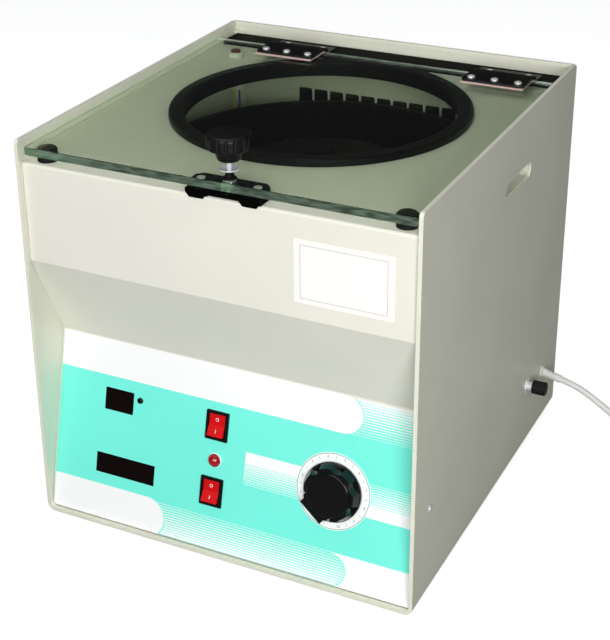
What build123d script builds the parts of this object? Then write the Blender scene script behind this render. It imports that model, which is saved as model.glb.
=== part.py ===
from build123d import *
import math
import os

# High-speed laboratory centrifuge: a sheet-metal cabinet with a hinged glass lid.
# Units are millimetres. X runs to the right, Y to the back and Z up. The origin lies on the
# surface that the feet stand on, under the middle of the cabinet.

# Cabinet
case_width = 420.0
case_depth = 447.0
case_height = 422.0
foot_height = 8.0
wall = 2.0
lip_thickness = 4.0
lip_depth = 5.0
case_corner = 9.0
case_top_corner = 5.0
fit_gap = 0.2

# Front sheet, as a side profile
front_sheet = 1.5
front_setback = 5.5
deck_drop = 24.0
band_height = 104.0
undercut_rise = 98.0
undercut_run = 47.5
sheet_bend = 3.0
flange_width = 14.0
deck_rear_gap = 4.5

# Chamber
deck_hole_radius = case_depth / 3
edging_inside = 7.5
edging_outside = 8.0
edging_below = 9.0
edging_crown = 3.2
edging_to_rail = 6.5
lid_seal_gap = 0.3
bowl_beyond_hole = 37.0
bowl_rim_width = 13.0
bowl_rim_turn_down = 8.0
bowl_rim_bend = 3.0
bowl_rim_drop = 52.0
bowl_depth = 110.0
bowl_wall = 1.5
bowl_corner = 20.0
spindle_hole_radius = 30.0
post_radius = 6.0
post_inset = 33.0

# Glass lid
glass_thickness = 8.0
glass_drop = 8.0
glass_side_gap = 4.0
glass_front_setback = 6.0
glass_rear_setback = 49.0
glass_corner = 3.0
lid_opening_degrees = 105.0
glass_edge_chamfer = 0.6
bumper_radius = 10.0
bumper_side_inset = 23.0
bumper_front_inset = 21.5
bumper_crown = 1.5

# Lid rail and hinges
rail_depth = 36.0
rail_height = 10.0
rail_end_gap = 5.0
rail_back_gap = 0.5
rail_round = 1.5
hinge_left_x = -102.5
hinge_right_x = 143.0
hinge_width = 69.0
hinge_axis_setback = 43.0
hinge_axis_sink = 1.0
hinge_knuckle_radius = 3.5
hinge_pin_radius = 1.5
hinge_leaf = 2.5
hinge_reach = 41.0
hinge_screw_reach = 33.0
hinge_screw_pitch = 26.0
hinge_screw_head_radius = 4.0
hinge_screw_head = 2.0
hinge_screw_shank = 2.5
hinge_sleeve_radius = 3.3
hinge_sleeve_height = 2.8
leaf_front_gap = 5.0
leaf_depth = 19.0
leaf_screw_reach = 15.0
leaf_screw_pitch = 44.0
leaf_screw_head_radius = 3.4
leaf_screw_head = 1.4
leaf_screw_shank = 1.7
gasket_thickness = 1.0
gasket_overhang = 2.5
running_gap = 0.05

# Lid knob and its keeper
knob_x = 14.0
knob_y = -204.0
stud_radius = 2.5
lid_knob_neck_radius = 14.3
lid_knob_foot_radius = 10.5
lid_knob_head_radius = 20.5
lid_knob_neck_height = 11.0
lid_knob_head_height = 15.0
lid_knob_lift = 18.0
lid_knob_flutes = 16
lid_knob_flute_radius = 2.2
lid_knob_flute_depth = 1.1
lid_knob_foot_round = 2.0
lid_knob_under_round = 2.5
lid_knob_top_round = 4.0
stud_in_knob = 6.0
washer_radius = 9.3
washer_dish = 2.4
washer_thickness = 1.1
washer_flat_radius = 3.6
washer_lift = 6.5
bush_radius = 6.0
bush_flange = 1.2
bush_flange_height = 1.2
bush_sleeve_radius = 4.0
keeper_width = 77.0
keeper_front_overhang = 1.5
keeper_depth = 27.0
keeper_plate = 4.0
keeper_arch_height = 2.2
keeper_foot_width = 22.0
keeper_hook_drop = 2.5
keeper_screw_pitch = 58.5
keeper_screw_shank = 2.0

# Lid switch
switch_x = -168.0
switch_setback = 75.5
switch_radius = 8.0
switch_body_below = 38.0
switch_nose = 5.2
switch_nut_height = 3.0
switch_nut_radius = 11.5
plunger_radius = 5.6
plunger_stem_depth = 6.5
plunger_travel = 2.5
plunger_round = 1.2
wire_radius = 1.1
wire_spread = 3.2
wire_lean = 10.0
wire_length = 150.0

# Motor, spindle and rotor, measured up from the cabinet's floor
damper_radius = 14.0
damper_height = 20.0
motor_plate_width = 200.0
motor_plate_depth = 180.0
motor_plate_thickness = 3.0
motor_radius = 58.0
motor_can_wall = 4.0
motor_foot_width = 16.0
motor_end_height = 22.0
motor_vent_low = 22.0
motor_vent_width = 9.0
motor_vent_height = 26.0
motor_vents = 8
boot_height = 24.0
armature_radius = 34.0
armature_slots = 12
field_inner_radius = 36.0
field_radius = 52.0
field_below = 45.0
field_above = 30.0
field_chamfer = 12.0
bearing_radius = 16.0
bearing_height = 10.0
spindle_radius = 8.0
spindle_top_radius = 6.0
rotor_radius = 95.0
rotor_height = 83.0
rotor_clear_floor = 16.0
rotor_hub_radius = 45.0
rotor_cone_height = 20.0
rotor_top_chamfer = 4.0
pocket_count = 6
pocket_radius = 12.0
pocket_depth = 62.0
pocket_circle = 45.0
pocket_tilt = 25.0
rotor_nut_radius = 16.0
rotor_nut_height = 22.0

# Control panel, in the sloping panel's own axes: across, up the slope and out of it
label_thickness = 0.5
label_margin = 1.5
timer_window_at = (-133.8, 135.1)
timer_window_size = (33.5, 23.6)
display_at = (-121.2, 63.7)
display_size = (69.8, 21.6)
button_at = (-108.9, 141.0)
button_radius = 3.2
button_travel = 1.5
rocker_at = ((-18.3, 135.4), (-18.6, 64.9))
rocker_frame_size = (25.5, 31.0)
rocker_body_size = (22.0, 27.0)
rocker_key_size = (17.6, 23.0)
rocker_tilt = 10.0
rocker_pin_radius = 1.5
rocker_pin_sink = 1.0
lamp_at = (-17.7, 98.9)
lamp_ring_radius = 7.6
lamp_lens_radius = 5.8
lamp_body_radius = 6.0
dial_at = (113.8, 99.3)
dial_radius = 39.6
dial_thickness = 0.8
knob_gap = 0.5
knob_radius = 30.5
knob_skirt = 4.0
knob_top_radius = 26.5
knob_height = 14.0
knob_crown = 2.0
knob_flutes = 6
knob_flute_radius = 9.0
knob_flute_depth = 3.0
pointer_angle = -128.0
pointer_reach = 31.5
pointer_width = 28.8
pointer_height = 8.5
shaft_bush_radius = 6.5
control_shaft_radius = 4.0
regulator_radius = 45.0
regulator_length = 58.0
regulator_setback = 10.0
board_at = (-122.0, 98.5)
board_size = (96.0, 136.0)
board_setback = 30.0
board_thickness = 1.6

# Right-hand side
slot_y = 38.0
slot_z = 355.0
slot_length = 79.0
slot_height = 17.0
slot_rim = 1.5
slot_rim_depth = 13.0
fuse_y = 113.5
fuse_z = 80.0
fuse_flange_radius = 8.2
fuse_flange = 1.4
fuse_neck_radius = 5.2
fuse_neck_length = 5.5
fuse_body_radius = 6.0
fuse_body_length = 26.0
fuse_nut_radius = 9.0
fuse_nut_height = 3.0
fuse_stem_radius = 4.0
fuse_stem_length = 20.0
fuse_cap_radius = 7.8
fuse_cap_length = 15.0
fuse_cap_flutes = 12
fuse_slot_width = 1.8
fuse_slot_depth = 2.0
cord_y = 168.0
cord_z = 70.0
cord_radius = 3.5
relief_length = 24.0
relief_droop = 12.0
relief_neck_radius = 5.5
relief_flange_radius = 6.8
relief_flange = 1.6
relief_root_radius = 5.2
relief_tip_radius = 4.3
relief_grooves = 4
relief_groove = 1.2
relief_groove_pitch = 3.4
relief_inside = 14.0
relief_nut_radius = 9.0
case_screw_y = -184.4
case_screw_z = 101.0
case_screw_shank = 2.0

# Rear panel
vent_count = 13
vent_pitch = 20.1
vent_width = 17.6
vent_height = 42.0
vent_corner = 2.5
vent_drop = 77.0
vent_shift = 5.7

# Notice plate on the upper band: left bare
plate_x = 134.0
plate_drop = 56.0
plate_size = (98.0, 63.0)
plate_thickness = 0.6

# Feet
foot_top_radius = 14.0
foot_bottom_radius = 12.0
foot_x = 172.0
foot_y = 182.0
foot_stem_radius = 3.0

# Cord on the floor: the route's corners, then the coil
cord_first_run = 16.0
cord_route = [
    (269.0, 168.3, 59.6),
    (291.0, 170.0, 44.0),
    (314.0, 174.5, 25.5),
    (338.0, 182.5, 10.0),
    (364.0, 195.0, 3.6),
    (388.0, 213.0, 3.6),
    (404.0, 238.0, 3.6),
    (409.0, 265.0, 3.6),
]
coil_turns_a_layer = 3
coil_pitch = 7.8
coil_mid_radius = 38.5
coil_climb_step = 2.0
plug_body_length = 34.0
plug_body_width = 38.0
plug_lead_out = 22.0

# Heights that follow from the sizes above
floor_z = foot_height
top_z = floor_z + case_height
deck_z = top_z - deck_drop
glass_top_z = top_z - glass_drop
glass_under_z = glass_top_z - glass_thickness
front_y = -case_depth / 2 + front_setback
back_y = case_depth / 2
half_width = case_width / 2
inner_half = half_width - wall
band_low_z = deck_z - band_height
slope_top_y = front_y + undercut_run
slope_top_z = band_low_z - undercut_rise
slope_low_z = floor_z + wall + fit_gap
slope_length = math.hypot(undercut_run, slope_top_z - slope_low_z)
slope_lean = math.atan2(undercut_run, slope_top_z - slope_low_z)
deck_rear_y = back_y - deck_rear_gap
edging_inner_radius = deck_hole_radius - edging_inside
edging_outer_radius = deck_hole_radius + edging_outside
rail_back_y = back_y - lip_thickness - rail_back_gap
rail_front_y = rail_back_y - rail_depth
chamber = (0.0, rail_front_y - edging_to_rail - edging_outer_radius)
glass_rear_y = back_y - glass_rear_setback
bowl_rim_radius = deck_hole_radius + bowl_beyond_hole
bowl_rim_z = deck_z - bowl_rim_drop
bowl_floor_z = bowl_rim_z - bowl_depth
post_circle = bowl_rim_radius - bowl_rim_width - post_inset
hinge_axis_y = back_y - hinge_axis_setback
hinge_axis_z = glass_top_z - hinge_axis_sink
hinge_front_y = hinge_axis_y - hinge_reach
hinge_screw_y = hinge_axis_y - hinge_screw_reach
switch_y = back_y - switch_setback
inside_floor_z = floor_z + wall
motor_z = inside_floor_z + damper_height + motor_plate_thickness
motor_top_z = bowl_floor_z - boot_height
motor_can_top_z = motor_top_z - motor_end_height
rotor_z = bowl_floor_z + rotor_clear_floor
rotor_top_z = rotor_z + rotor_height
screw_head = 2.2
keeper_middle_y = front_y - keeper_front_overhang + keeper_depth / 2 + 1.0
rocker_pivot_out = label_thickness - rocker_pin_sink
knob_seat = label_thickness + dial_thickness + knob_gap

panel = Plane(
    origin=(0, front_y, slope_low_z),
    x_dir=(1, 0, 0),
    z_dir=(0, -math.cos(slope_lean), math.sin(slope_lean)),
)


def on_panel(across, up, out=0.0):
    """Place a shape on the sloping control panel."""
    return panel.location * Pos(across, up, out)


def block(low, high):
    """Box between two corners."""
    size = [b - a for a, b in zip(low, high)]
    middle = [(a + b) / 2 for a, b in zip(low, high)]
    return Pos(*middle) * Box(*size)


def inside_wrap():
    """Space inside the wrapped sheet, less a small gap, with its rounded lower corners."""
    edge = inner_half - fit_gap
    space = block((-edge, -back_y, inside_floor_z + fit_gap), (edge, back_y, top_z))
    return fillet(space.edges().filter_by(Axis.Y).group_by(Axis.Z)[0], case_corner - wall)


def rod(x, y, low, high, radius):
    """Upright cylinder between two heights."""
    return Pos(x, y, (low + high) / 2) * Cylinder(radius, high - low)


def rod_x(low, high, y, z, radius):
    """Cylinder along X between two places."""
    return Pos((low + high) / 2, y, z) * Rot(0, 90, 0) * Cylinder(radius, high - low)


def turned(profile, x=0.0, y=0.0):
    """Solid of revolution from (radius, height) corners about an upright axis."""
    outline = make_face(Polyline(*[(r, 0, z) for r, z in profile], close=True))
    return Pos(x, y, 0) * revolve(outline, Axis.Z)


def domed_screw(radius, height, shank_radius, shank_length):
    """Pan-head screw standing on z = 0 with its shank below."""
    head = Cylinder(radius, height, align=(Align.CENTER, Align.CENTER, Align.MIN))
    head = fillet(head.edges().sort_by(Axis.Z)[-1], height * 0.6)
    cross = Box(radius, radius * 0.25, height * 0.5) + Box(radius * 0.25, radius, height * 0.5)
    head -= Pos(0, 0, height) * cross
    shank = Cylinder(shank_radius, shank_length, align=(Align.CENTER, Align.CENTER, Align.MAX))
    return head + shank


def save(name, shape):
    """Write one node, as the solids that it is made of."""
    solids = shape.solids()
    export_step(solids[0] if len(solids) == 1 else Compound(solids), f"parts/{name}.step")


# Cabinet: a sheet wrapped round the left side, the floor and the right side
def cabinet_wrap():
    outer = block((-half_width, -back_y, floor_z), (half_width, back_y, top_z))
    outer = fillet(outer.edges().filter_by(Axis.Y).group_by(Axis.Z)[0], case_corner)
    side = Plane.YZ * Pos(0, floor_z + case_height / 2) * Rectangle(case_depth, case_height)
    side = fillet(side.vertices().group_by(Axis.Z)[-1], case_top_corner)
    outer &= extrude(side, amount=half_width, both=True)
    lip_inner = half_width - lip_thickness
    lip_top = top_z - lip_depth
    lip_back = -back_y + lip_depth
    hollow = block((-inner_half, lip_back, floor_z + wall), (inner_half, back_y, lip_top))
    hollow = fillet(hollow.edges().filter_by(Axis.Y).group_by(Axis.Z)[0], case_corner - wall)
    mouth = block((-lip_inner, -back_y, floor_z + lip_thickness), (lip_inner, lip_back, top_z))
    mouth = fillet(mouth.edges().filter_by(Axis.Y).group_by(Axis.Z)[0], case_corner - lip_thickness)
    above = block((-lip_inner, lip_back, lip_top), (lip_inner, back_y, top_z))
    rear_notch = block((-inner_half, deck_rear_y, lip_top), (inner_half, back_y, top_z))
    wrap = outer - hollow - mouth - above - rear_notch
    flange_y = (deck_rear_y + 2 * fit_gap, back_y - 2 * fit_gap - wall)
    for side_sign in (-1, 1):
        low_x, high_x = sorted((side_sign * (inner_half - flange_width), side_sign * inner_half))
        wrap += block((low_x, flange_y[0], floor_z + 30), (high_x, flange_y[1], lip_top - 6))
        slot = Pos(side_sign * half_width, slot_y, floor_z + slot_z) * Rot(0, 90, 0)
        wrap -= slot * extrude(SlotOverall(slot_length, slot_height, rotation=90), 8, both=True)
        for y, z in case_screw_places():
            wrap -= rod_x(-half_width - 1, half_width + 1, y, z, case_screw_shank)
    wrap -= rod_x(inner_half - 1, half_width + 1, fuse_y, floor_z + fuse_z, fuse_body_radius + fit_gap)
    wrap -= rod_x(inner_half - 1, half_width + 1, cord_y, floor_z + cord_z, relief_neck_radius + fit_gap)
    for x, y in foot_places():
        wrap -= rod(x, y, floor_z - 1, inside_floor_z + 1, foot_stem_radius + fit_gap)
    for x, z in rear_screw_places():
        wrap -= Pos(x, back_y, z) * Rot(90, 0, 0) * Cylinder(case_screw_shank, 20)
    return wrap


def hand_cups():
    """Pressed linings of the two hand slots: a rim just inside the sheet and a curved back."""
    cups = []
    for side_sign in (-1, 1):
        outline = SlotOverall(slot_length - 2 * slot_rim, slot_height - 2 * slot_rim, rotation=90)
        around = SlotOverall(slot_length + 2 * slot_rim, slot_height + 2 * slot_rim, rotation=90)
        cup = extrude(around, slot_rim_depth) - extrude(outline, slot_rim_depth - slot_rim)
        place = Pos(side_sign * inner_half, slot_y, floor_z + slot_z)
        cups.append(place * Rot(0, -90 * side_sign, 0) * cup)
    return cups


def foot_places():
    return [(x, y) for x in (-foot_x, foot_x) for y in (-foot_y, foot_y)]


def case_screw_places():
    """Places (y, z) of the screws that hold the front sheet, the same on both sides."""
    return [(case_screw_y, floor_z + case_screw_z)]


def rear_screw_places():
    """Places (x, z) of the screws that hold the rear panel to the side flanges."""
    x = inner_half - flange_width / 2
    return [(s * x, floor_z + z) for s in (-1, 1) for z in (50, case_height / 2, case_height - 40)]


def rear_panel():
    edge = inner_half - fit_gap
    plate = block((-edge, back_y - wall, inside_floor_z + fit_gap), (edge, back_y, top_z))
    lip = block((-edge, back_y - lip_thickness + fit_gap, top_z - lip_depth), (edge, back_y, top_z))
    foot_flange = block(
        (-edge + flange_width, back_y - flange_width, inside_floor_z + fit_gap),
        (edge - flange_width, back_y, inside_floor_z + fit_gap + wall),
    )
    sheet = (plate + lip + foot_flange) & inside_wrap()
    sheet = fillet(sheet.edges().filter_by(Axis.X).group_by(Axis.Z)[-1][-1:], 1.0)
    slot = Plane.XZ * RectangleRounded(vent_width, vent_height, vent_corner)
    cutter = extrude(slot, wall * 4, both=True)
    for i in range(vent_count):
        x = vent_shift + (i - (vent_count - 1) / 2) * vent_pitch
        sheet -= Pos(x, back_y, top_z - vent_drop - vent_height / 2) * cutter
    for x, z in rear_screw_places():
        sheet -= Pos(x, back_y, z) * Rot(90, 0, 0) * Cylinder(case_screw_shank + fit_gap, 20)
    return sheet


# Front sheet: deck, upper band, undercut and sloping control panel in one bent sheet
def front_deck_panel():
    corners = [
        (deck_rear_y, deck_z),
        (front_y, deck_z),
        (front_y, band_low_z),
        (slope_top_y, slope_top_z),
        (front_y, slope_low_z),
        (front_y + flange_width, slope_low_z),
    ]
    path = FilletPolyline(*corners, radius=sheet_bend)
    section = make_face(offset(path, front_sheet, side=Side.LEFT))
    if section.faces()[0].bounding_box().max.Y > deck_z + fit_gap:
        section = make_face(offset(path, front_sheet, side=Side.RIGHT))
    edge = inner_half - fit_gap
    sheet = extrude(Plane.YZ * section, amount=edge, both=True)
    for side_sign in (-1, 1):
        flange = Box(front_sheet, slope_length - 24, flange_width)
        flange_x = side_sign * (edge - front_sheet / 2)
        sheet += on_panel(flange_x, slope_length / 2, -front_sheet - flange_width / 2) * flange
        low_x, high_x = sorted((side_sign * (edge - front_sheet), side_sign * edge))
        deck_low = (low_x, front_y + 16, deck_z - front_sheet - flange_width)
        sheet += block(deck_low, (high_x, deck_rear_y - 6, deck_z - front_sheet))
    sheet &= inside_wrap()
    sheet -= rod(*chamber, deck_z - 20, deck_z + 5, deck_hole_radius)
    sheet -= rod(switch_x, switch_y, deck_z - 20, deck_z + 5, switch_radius + fit_gap)
    for x in keeper_screw_places():
        sheet -= rod(x, keeper_middle_y, deck_z - 20, deck_z + 5, keeper_screw_shank + fit_gap)
    for hole in panel_holes(fit_gap):
        sheet -= hole
    for y, z in case_screw_places():
        sheet -= rod_x(-half_width, half_width, y, z, case_screw_shank + fit_gap)
    return sheet


def panel_holes(gap):
    """Holes through the front sheet and its label for everything mounted on the panel."""
    deep = 12.0
    holes = []
    for place, size in ((timer_window_at, timer_window_size), (display_at, display_size)):
        holes.append(on_panel(*place) * Box(size[0] + 2 * gap, size[1] + 2 * gap, deep))
    for place in rocker_at:
        size = rocker_body_size
        holes.append(on_panel(*place) * Box(size[0] + 2 * gap, size[1] + 2 * gap, deep))
    holes.append(on_panel(*button_at) * Cylinder(button_radius + running_gap, deep))
    holes.append(on_panel(*lamp_at) * Cylinder(lamp_body_radius + gap, deep))
    holes.append(on_panel(*dial_at) * Cylinder(shaft_bush_radius + gap, deep))
    return holes


def control_label():
    width = 2 * (inner_half - fit_gap) - 2 * label_margin
    height = slope_length - 2 * sheet_bend
    label = on_panel(0, slope_length / 2, label_thickness / 2) * Box(width, height, label_thickness)
    for hole in panel_holes(fit_gap):
        label -= hole
    return label


def notice_plate():
    plate = extrude(Plane.XZ * RectangleRounded(*plate_size, 1.0), plate_thickness)
    return Pos(plate_x, front_y, deck_z - plate_drop) * plate


# Lid support: edging of the chamber's mouth, bumpers, rail and keeper
def rim_edging():
    top = glass_under_z - lid_seal_gap
    profile = [
        (edging_inner_radius, deck_z - edging_below),
        (edging_inner_radius, top),
        (edging_outer_radius, top),
        (edging_outer_radius, deck_z + fit_gap / 2),
        (deck_hole_radius - fit_gap, deck_z + fit_gap / 2),
        (deck_hole_radius - fit_gap, deck_z - edging_below),
    ]
    face = make_face(Polyline(*profile, close=True))
    crown = face.vertices().sort_by(Axis.Y)[-2:]
    face = fillet(crown, edging_crown)
    return Pos(*chamber, 0) * revolve(Plane.XZ * face, Axis.Z)


def lid_bumpers():
    top = glass_under_z - lid_seal_gap
    profile = [
        (0, deck_z),
        (bumper_radius, deck_z),
        (bumper_radius, top - bumper_crown),
        (bumper_radius - bumper_crown, top),
        (0, top),
    ]
    x = half_width - bumper_side_inset
    y = -back_y + bumper_front_inset
    return [turned(profile, side_sign * x, y) for side_sign in (-1, 1)]


def lid_rail():
    half = inner_half - rail_end_gap
    rail = block((-half, rail_front_y, deck_z), (half, rail_back_y, deck_z + rail_height))
    return fillet(rail.edges().filter_by(Axis.X).group_by(Axis.Z)[-1], rail_round)


def keeper_screw_places():
    return [knob_x - keeper_screw_pitch / 2, knob_x + keeper_screw_pitch / 2]


def latch_keeper():
    low_x = knob_x - keeper_width / 2
    high_x = knob_x + keeper_width / 2
    front = front_y - keeper_front_overhang
    arch_z = deck_z + keeper_arch_height
    bridge = block((low_x, front, arch_z), (high_x, front + keeper_depth, arch_z + keeper_plate))
    for x in (low_x, high_x - keeper_foot_width):
        bridge += block((x, front_y, deck_z), (x + keeper_foot_width, front + keeper_depth, arch_z))
        hook = Polyline(
            (x, arch_z),
            (x + keeper_foot_width, arch_z),
            (x + keeper_foot_width - 4, deck_z - keeper_hook_drop),
            (x + 4, deck_z - keeper_hook_drop),
            close=True,
        )
        bridge += Pos(0, front_y - fit_gap, 0) * extrude(
            Plane.XZ * make_face(hook), keeper_front_overhang - fit_gap
        )
        bridge += block((x, front, arch_z), (x + keeper_foot_width, front_y, arch_z + 1))
    corners = bridge.edges().filter_by(Axis.Z).group_by(Axis.Y)[-1]
    bridge = chamfer(corners, 6.0)
    bridge -= rod(knob_x, knob_y, arch_z - 1, arch_z + keeper_plate + 1, stud_radius + 1.0)
    for x in keeper_screw_places():
        bridge -= rod(x, keeper_middle_y, deck_z - 1, deck_z + 20, keeper_screw_shank + fit_gap)
    return bridge


def keeper_screws():
    seat = deck_z + keeper_arch_height + keeper_plate
    screws = []
    for x in keeper_screw_places():
        length = seat - deck_z + 8
        head = glass_under_z - seat - 0.8
        screws.append(Pos(x, keeper_middle_y, seat) * domed_screw(4.2, head, keeper_screw_shank, length))
    return screws


# Glass lid and what is fixed to it
def lid_half_width():
    return inner_half - glass_side_gap


def hinge_places():
    return [hinge_left_x, hinge_right_x]


def hinge_screw_places():
    offsets = (-hinge_screw_pitch, 0.0, hinge_screw_pitch)
    return [(x + dx, hinge_screw_y) for x in hinge_places() for dx in offsets]


def lid_glass():
    half = lid_half_width()
    low = (-half, -back_y + glass_front_setback, glass_under_z)
    pane = block(low, (half, glass_rear_y, glass_top_z))
    pane = fillet(pane.edges().filter_by(Axis.Z).group_by(Axis.Y)[0], glass_corner)
    pane = chamfer(pane.edges().group_by(Axis.Z)[-1], glass_edge_chamfer)
    pane -= rod(knob_x, knob_y, glass_under_z - 1, glass_top_z + 1, bush_radius + fit_gap)
    for x, y in hinge_screw_places():
        pane -= rod(x, y, glass_under_z - 1, glass_top_z + 1, hinge_sleeve_radius + fit_gap)
    return pane


def knuckle_bands(x):
    """Five knuckles of one hinge: the odd ones turn with the lid, the others stay."""
    step = hinge_width / 5
    start = x - hinge_width / 2
    return [(start + i * step + fit_gap, start + (i + 1) * step - fit_gap) for i in range(5)]


def hinge_fixed_leaves():
    seat = deck_z + rail_height
    leaves = []
    for x in hinge_places():
        leaf_front = hinge_axis_y + leaf_front_gap
        leaf = block(
            (x - hinge_width / 2, leaf_front, seat),
            (x + hinge_width / 2, leaf_front + leaf_depth, seat + hinge_leaf),
        )
        for i in (1, 3):
            low, high = knuckle_bands(x)[i]
            barrel = rod_x(low, high, hinge_axis_y, hinge_axis_z, hinge_knuckle_radius)
            web_low = (low, hinge_axis_y, seat)
            barrel += block(web_low, (high, leaf_front + 1, seat + hinge_leaf))
            leaf += barrel
        leaf -= rod_x(x - hinge_width, x + hinge_width, hinge_axis_y, hinge_axis_z, hinge_pin_radius)
        for screw_x, screw_y in leaf_screw_places(x):
            leaf -= rod(screw_x, screw_y, seat - 1, seat + 2 * hinge_leaf, leaf_screw_shank + 0.1)
        leaves.append(leaf)
    return leaves


def leaf_screw_places(x):
    half = leaf_screw_pitch / 2
    return [(x - half, hinge_axis_y + leaf_screw_reach), (x + half, hinge_axis_y + leaf_screw_reach)]


def hinge_clamps():
    under = glass_top_z + gasket_thickness
    clamps = []
    for x in hinge_places():
        low = (x - hinge_width / 2, hinge_front_y, under)
        plate = block(low, (x + hinge_width / 2, hinge_axis_y - hinge_knuckle_radius - 1, under + hinge_leaf))
        plate = fillet(plate.edges().filter_by(Axis.Z).group_by(Axis.Y)[0], 3.0)
        plate = fillet(plate.edges().filter_by(Axis.X).group_by(Axis.Z)[-1][:1], 1.0)
        for i in (0, 2, 4):
            band_low, band_high = knuckle_bands(x)[i]
            barrel = rod_x(band_low, band_high, hinge_axis_y, hinge_axis_z, hinge_knuckle_radius)
            tongue_low = (band_low, hinge_axis_y - hinge_knuckle_radius - 2, under)
            barrel += block(tongue_low, (band_high, hinge_axis_y, under + 1.4))
            plate += barrel
        reach = hinge_pin_radius + running_gap
        plate -= rod_x(x - hinge_width, x + hinge_width, hinge_axis_y, hinge_axis_z, reach)
        for dx in (-hinge_screw_pitch, 0, hinge_screw_pitch):
            plate -= rod(x + dx, hinge_screw_y, under - 1, under + 5, hinge_screw_shank + fit_gap)
        clamps.append(plate)
    return clamps


def hinge_gaskets():
    pads = []
    for x in hinge_places():
        low = (x - hinge_width / 2, hinge_front_y - gasket_overhang, glass_top_z)
        pad = block(low, (x + hinge_width / 2, glass_rear_y, glass_top_z + gasket_thickness))
        for dx in (-hinge_screw_pitch, 0, hinge_screw_pitch):
            pad -= rod(x + dx, hinge_screw_y, glass_top_z - 1, glass_top_z + 5, hinge_screw_shank + fit_gap)
        pads.append(pad)
    return pads


def hinge_pins():
    half = hinge_width / 2 - 0.5
    return [rod_x(x - half, x + half, hinge_axis_y, hinge_axis_z, hinge_pin_radius) for x in hinge_places()]


def clamp_screws():
    """Screws of the hinge clamps, with sleeve nuts flush in the glass."""
    seat = glass_top_z + gasket_thickness + hinge_leaf
    screws = []
    low = glass_under_z + fit_gap
    length = seat - low
    for x, y in hinge_screw_places():
        screw = domed_screw(hinge_screw_head_radius, hinge_screw_head, hinge_screw_shank, length)
        nut = rod(x, y, low, low + hinge_sleeve_height, hinge_sleeve_radius)
        screws.append(Pos(x, y, seat) * screw + nut)
    return screws


def rail_screws():
    seat = deck_z + rail_height + hinge_leaf
    places = [place for x in hinge_places() for place in leaf_screw_places(x)]
    screw = domed_screw(leaf_screw_head_radius, leaf_screw_head, leaf_screw_shank, hinge_leaf)
    return [Pos(x, y, seat) * screw for x, y in places]


def lid_stud():
    foot = deck_z + keeper_arch_height + 0.5
    shank = rod(knob_x, knob_y, foot, glass_top_z + lid_knob_lift + stud_in_knob, stud_radius)
    tip = shank.edges().sort_by(Axis.Z)[0]
    return chamfer(tip, 0.8)


def knob_washer():
    """Dished washer on the stud, open side up."""
    z = glass_top_z + washer_lift
    bore = stud_radius + running_gap
    profile = [
        (bore, z),
        (washer_flat_radius, z),
        (washer_radius, z + washer_dish),
        (washer_radius, z + washer_dish + washer_thickness),
        (washer_flat_radius, z + washer_thickness),
        (bore, z + washer_thickness),
    ]
    return turned(profile, knob_x, knob_y)


def glass_bush():
    bore = stud_radius + running_gap
    low = glass_under_z - 0.5
    profile = [
        (bore, low),
        (bush_radius, low),
        (bush_radius, glass_top_z),
        (bush_radius + bush_flange, glass_top_z),
        (bush_radius, glass_top_z + bush_flange_height),
        (bush_sleeve_radius, glass_top_z + bush_flange_height),
        (bush_sleeve_radius, glass_top_z + washer_lift - running_gap),
        (bore, glass_top_z + washer_lift - running_gap),
    ]
    return turned(profile, knob_x, knob_y)


def lid_knob():
    low = glass_top_z + lid_knob_lift
    head_low = low + lid_knob_neck_height
    neck_profile = [(0, low), (lid_knob_foot_radius, low), (lid_knob_neck_radius, head_low), (0, head_low)]
    neck = turned(neck_profile, knob_x, knob_y)
    neck = fillet(neck.edges().group_by(Axis.Z)[0], lid_knob_foot_round)
    head = rod(knob_x, knob_y, head_low, head_low + lid_knob_head_height, lid_knob_head_radius)
    head = fillet(head.edges().group_by(Axis.Z)[0], lid_knob_under_round)
    head = fillet(head.edges().group_by(Axis.Z)[-1], lid_knob_top_round)
    flute = Cylinder(lid_knob_flute_radius, lid_knob_head_height * 3)
    flute_reach = lid_knob_head_radius + lid_knob_flute_radius - lid_knob_flute_depth
    for i in range(lid_knob_flutes):
        turn = Rot(0, 0, 360 / lid_knob_flutes * i) * Pos(flute_reach, 0, 0)
        head -= Pos(knob_x, knob_y, head_low) * turn * flute
    return neck + head - rod(knob_x, knob_y, low - 1, low + stud_in_knob, stud_radius)


# Lid switch in the deck's rear left corner
def switch_body():
    low = deck_z - switch_body_below
    top = deck_z + switch_nose
    bore = plunger_radius + running_gap
    bore_low = top - plunger_stem_depth - plunger_travel - 1
    profile = [
        (0, low),
        (switch_radius, low),
        (switch_radius, top - 1),
        (switch_radius - 1, top),
        (bore, top),
        (bore, bore_low),
        (0, bore_low),
    ]
    nut = extrude(RegularPolygon(switch_nut_radius, 6) - Circle(switch_radius - 0.5), switch_nut_height)
    nut_z = deck_z - front_sheet - switch_nut_height - fit_gap
    return turned(profile, switch_x, switch_y) + Pos(switch_x, switch_y, nut_z) * nut


def switch_plunger():
    top = glass_under_z - lid_seal_gap
    low = deck_z + switch_nose - plunger_stem_depth
    stem = rod(switch_x, switch_y, low, top, plunger_radius)
    return fillet(stem.edges().sort_by(Axis.Z)[-1], plunger_round)


def switch_wire(side_sign):
    low = deck_z - switch_body_below
    x = switch_x + side_sign * wire_spread
    foot_x = x + side_sign * 2 - wire_lean
    foot_y = switch_y + 0.6 * wire_lean
    path = FilletPolyline(
        (x, switch_y, low),
        (x, switch_y, low - 0.2 * wire_length),
        (foot_x, foot_y, low - 0.6 * wire_length),
        (foot_x, foot_y, low - wire_length),
        radius=0.25 * wire_length,
    )
    return sweep(Plane(origin=path @ 0, z_dir=path % 0) * Circle(wire_radius), path)


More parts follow.
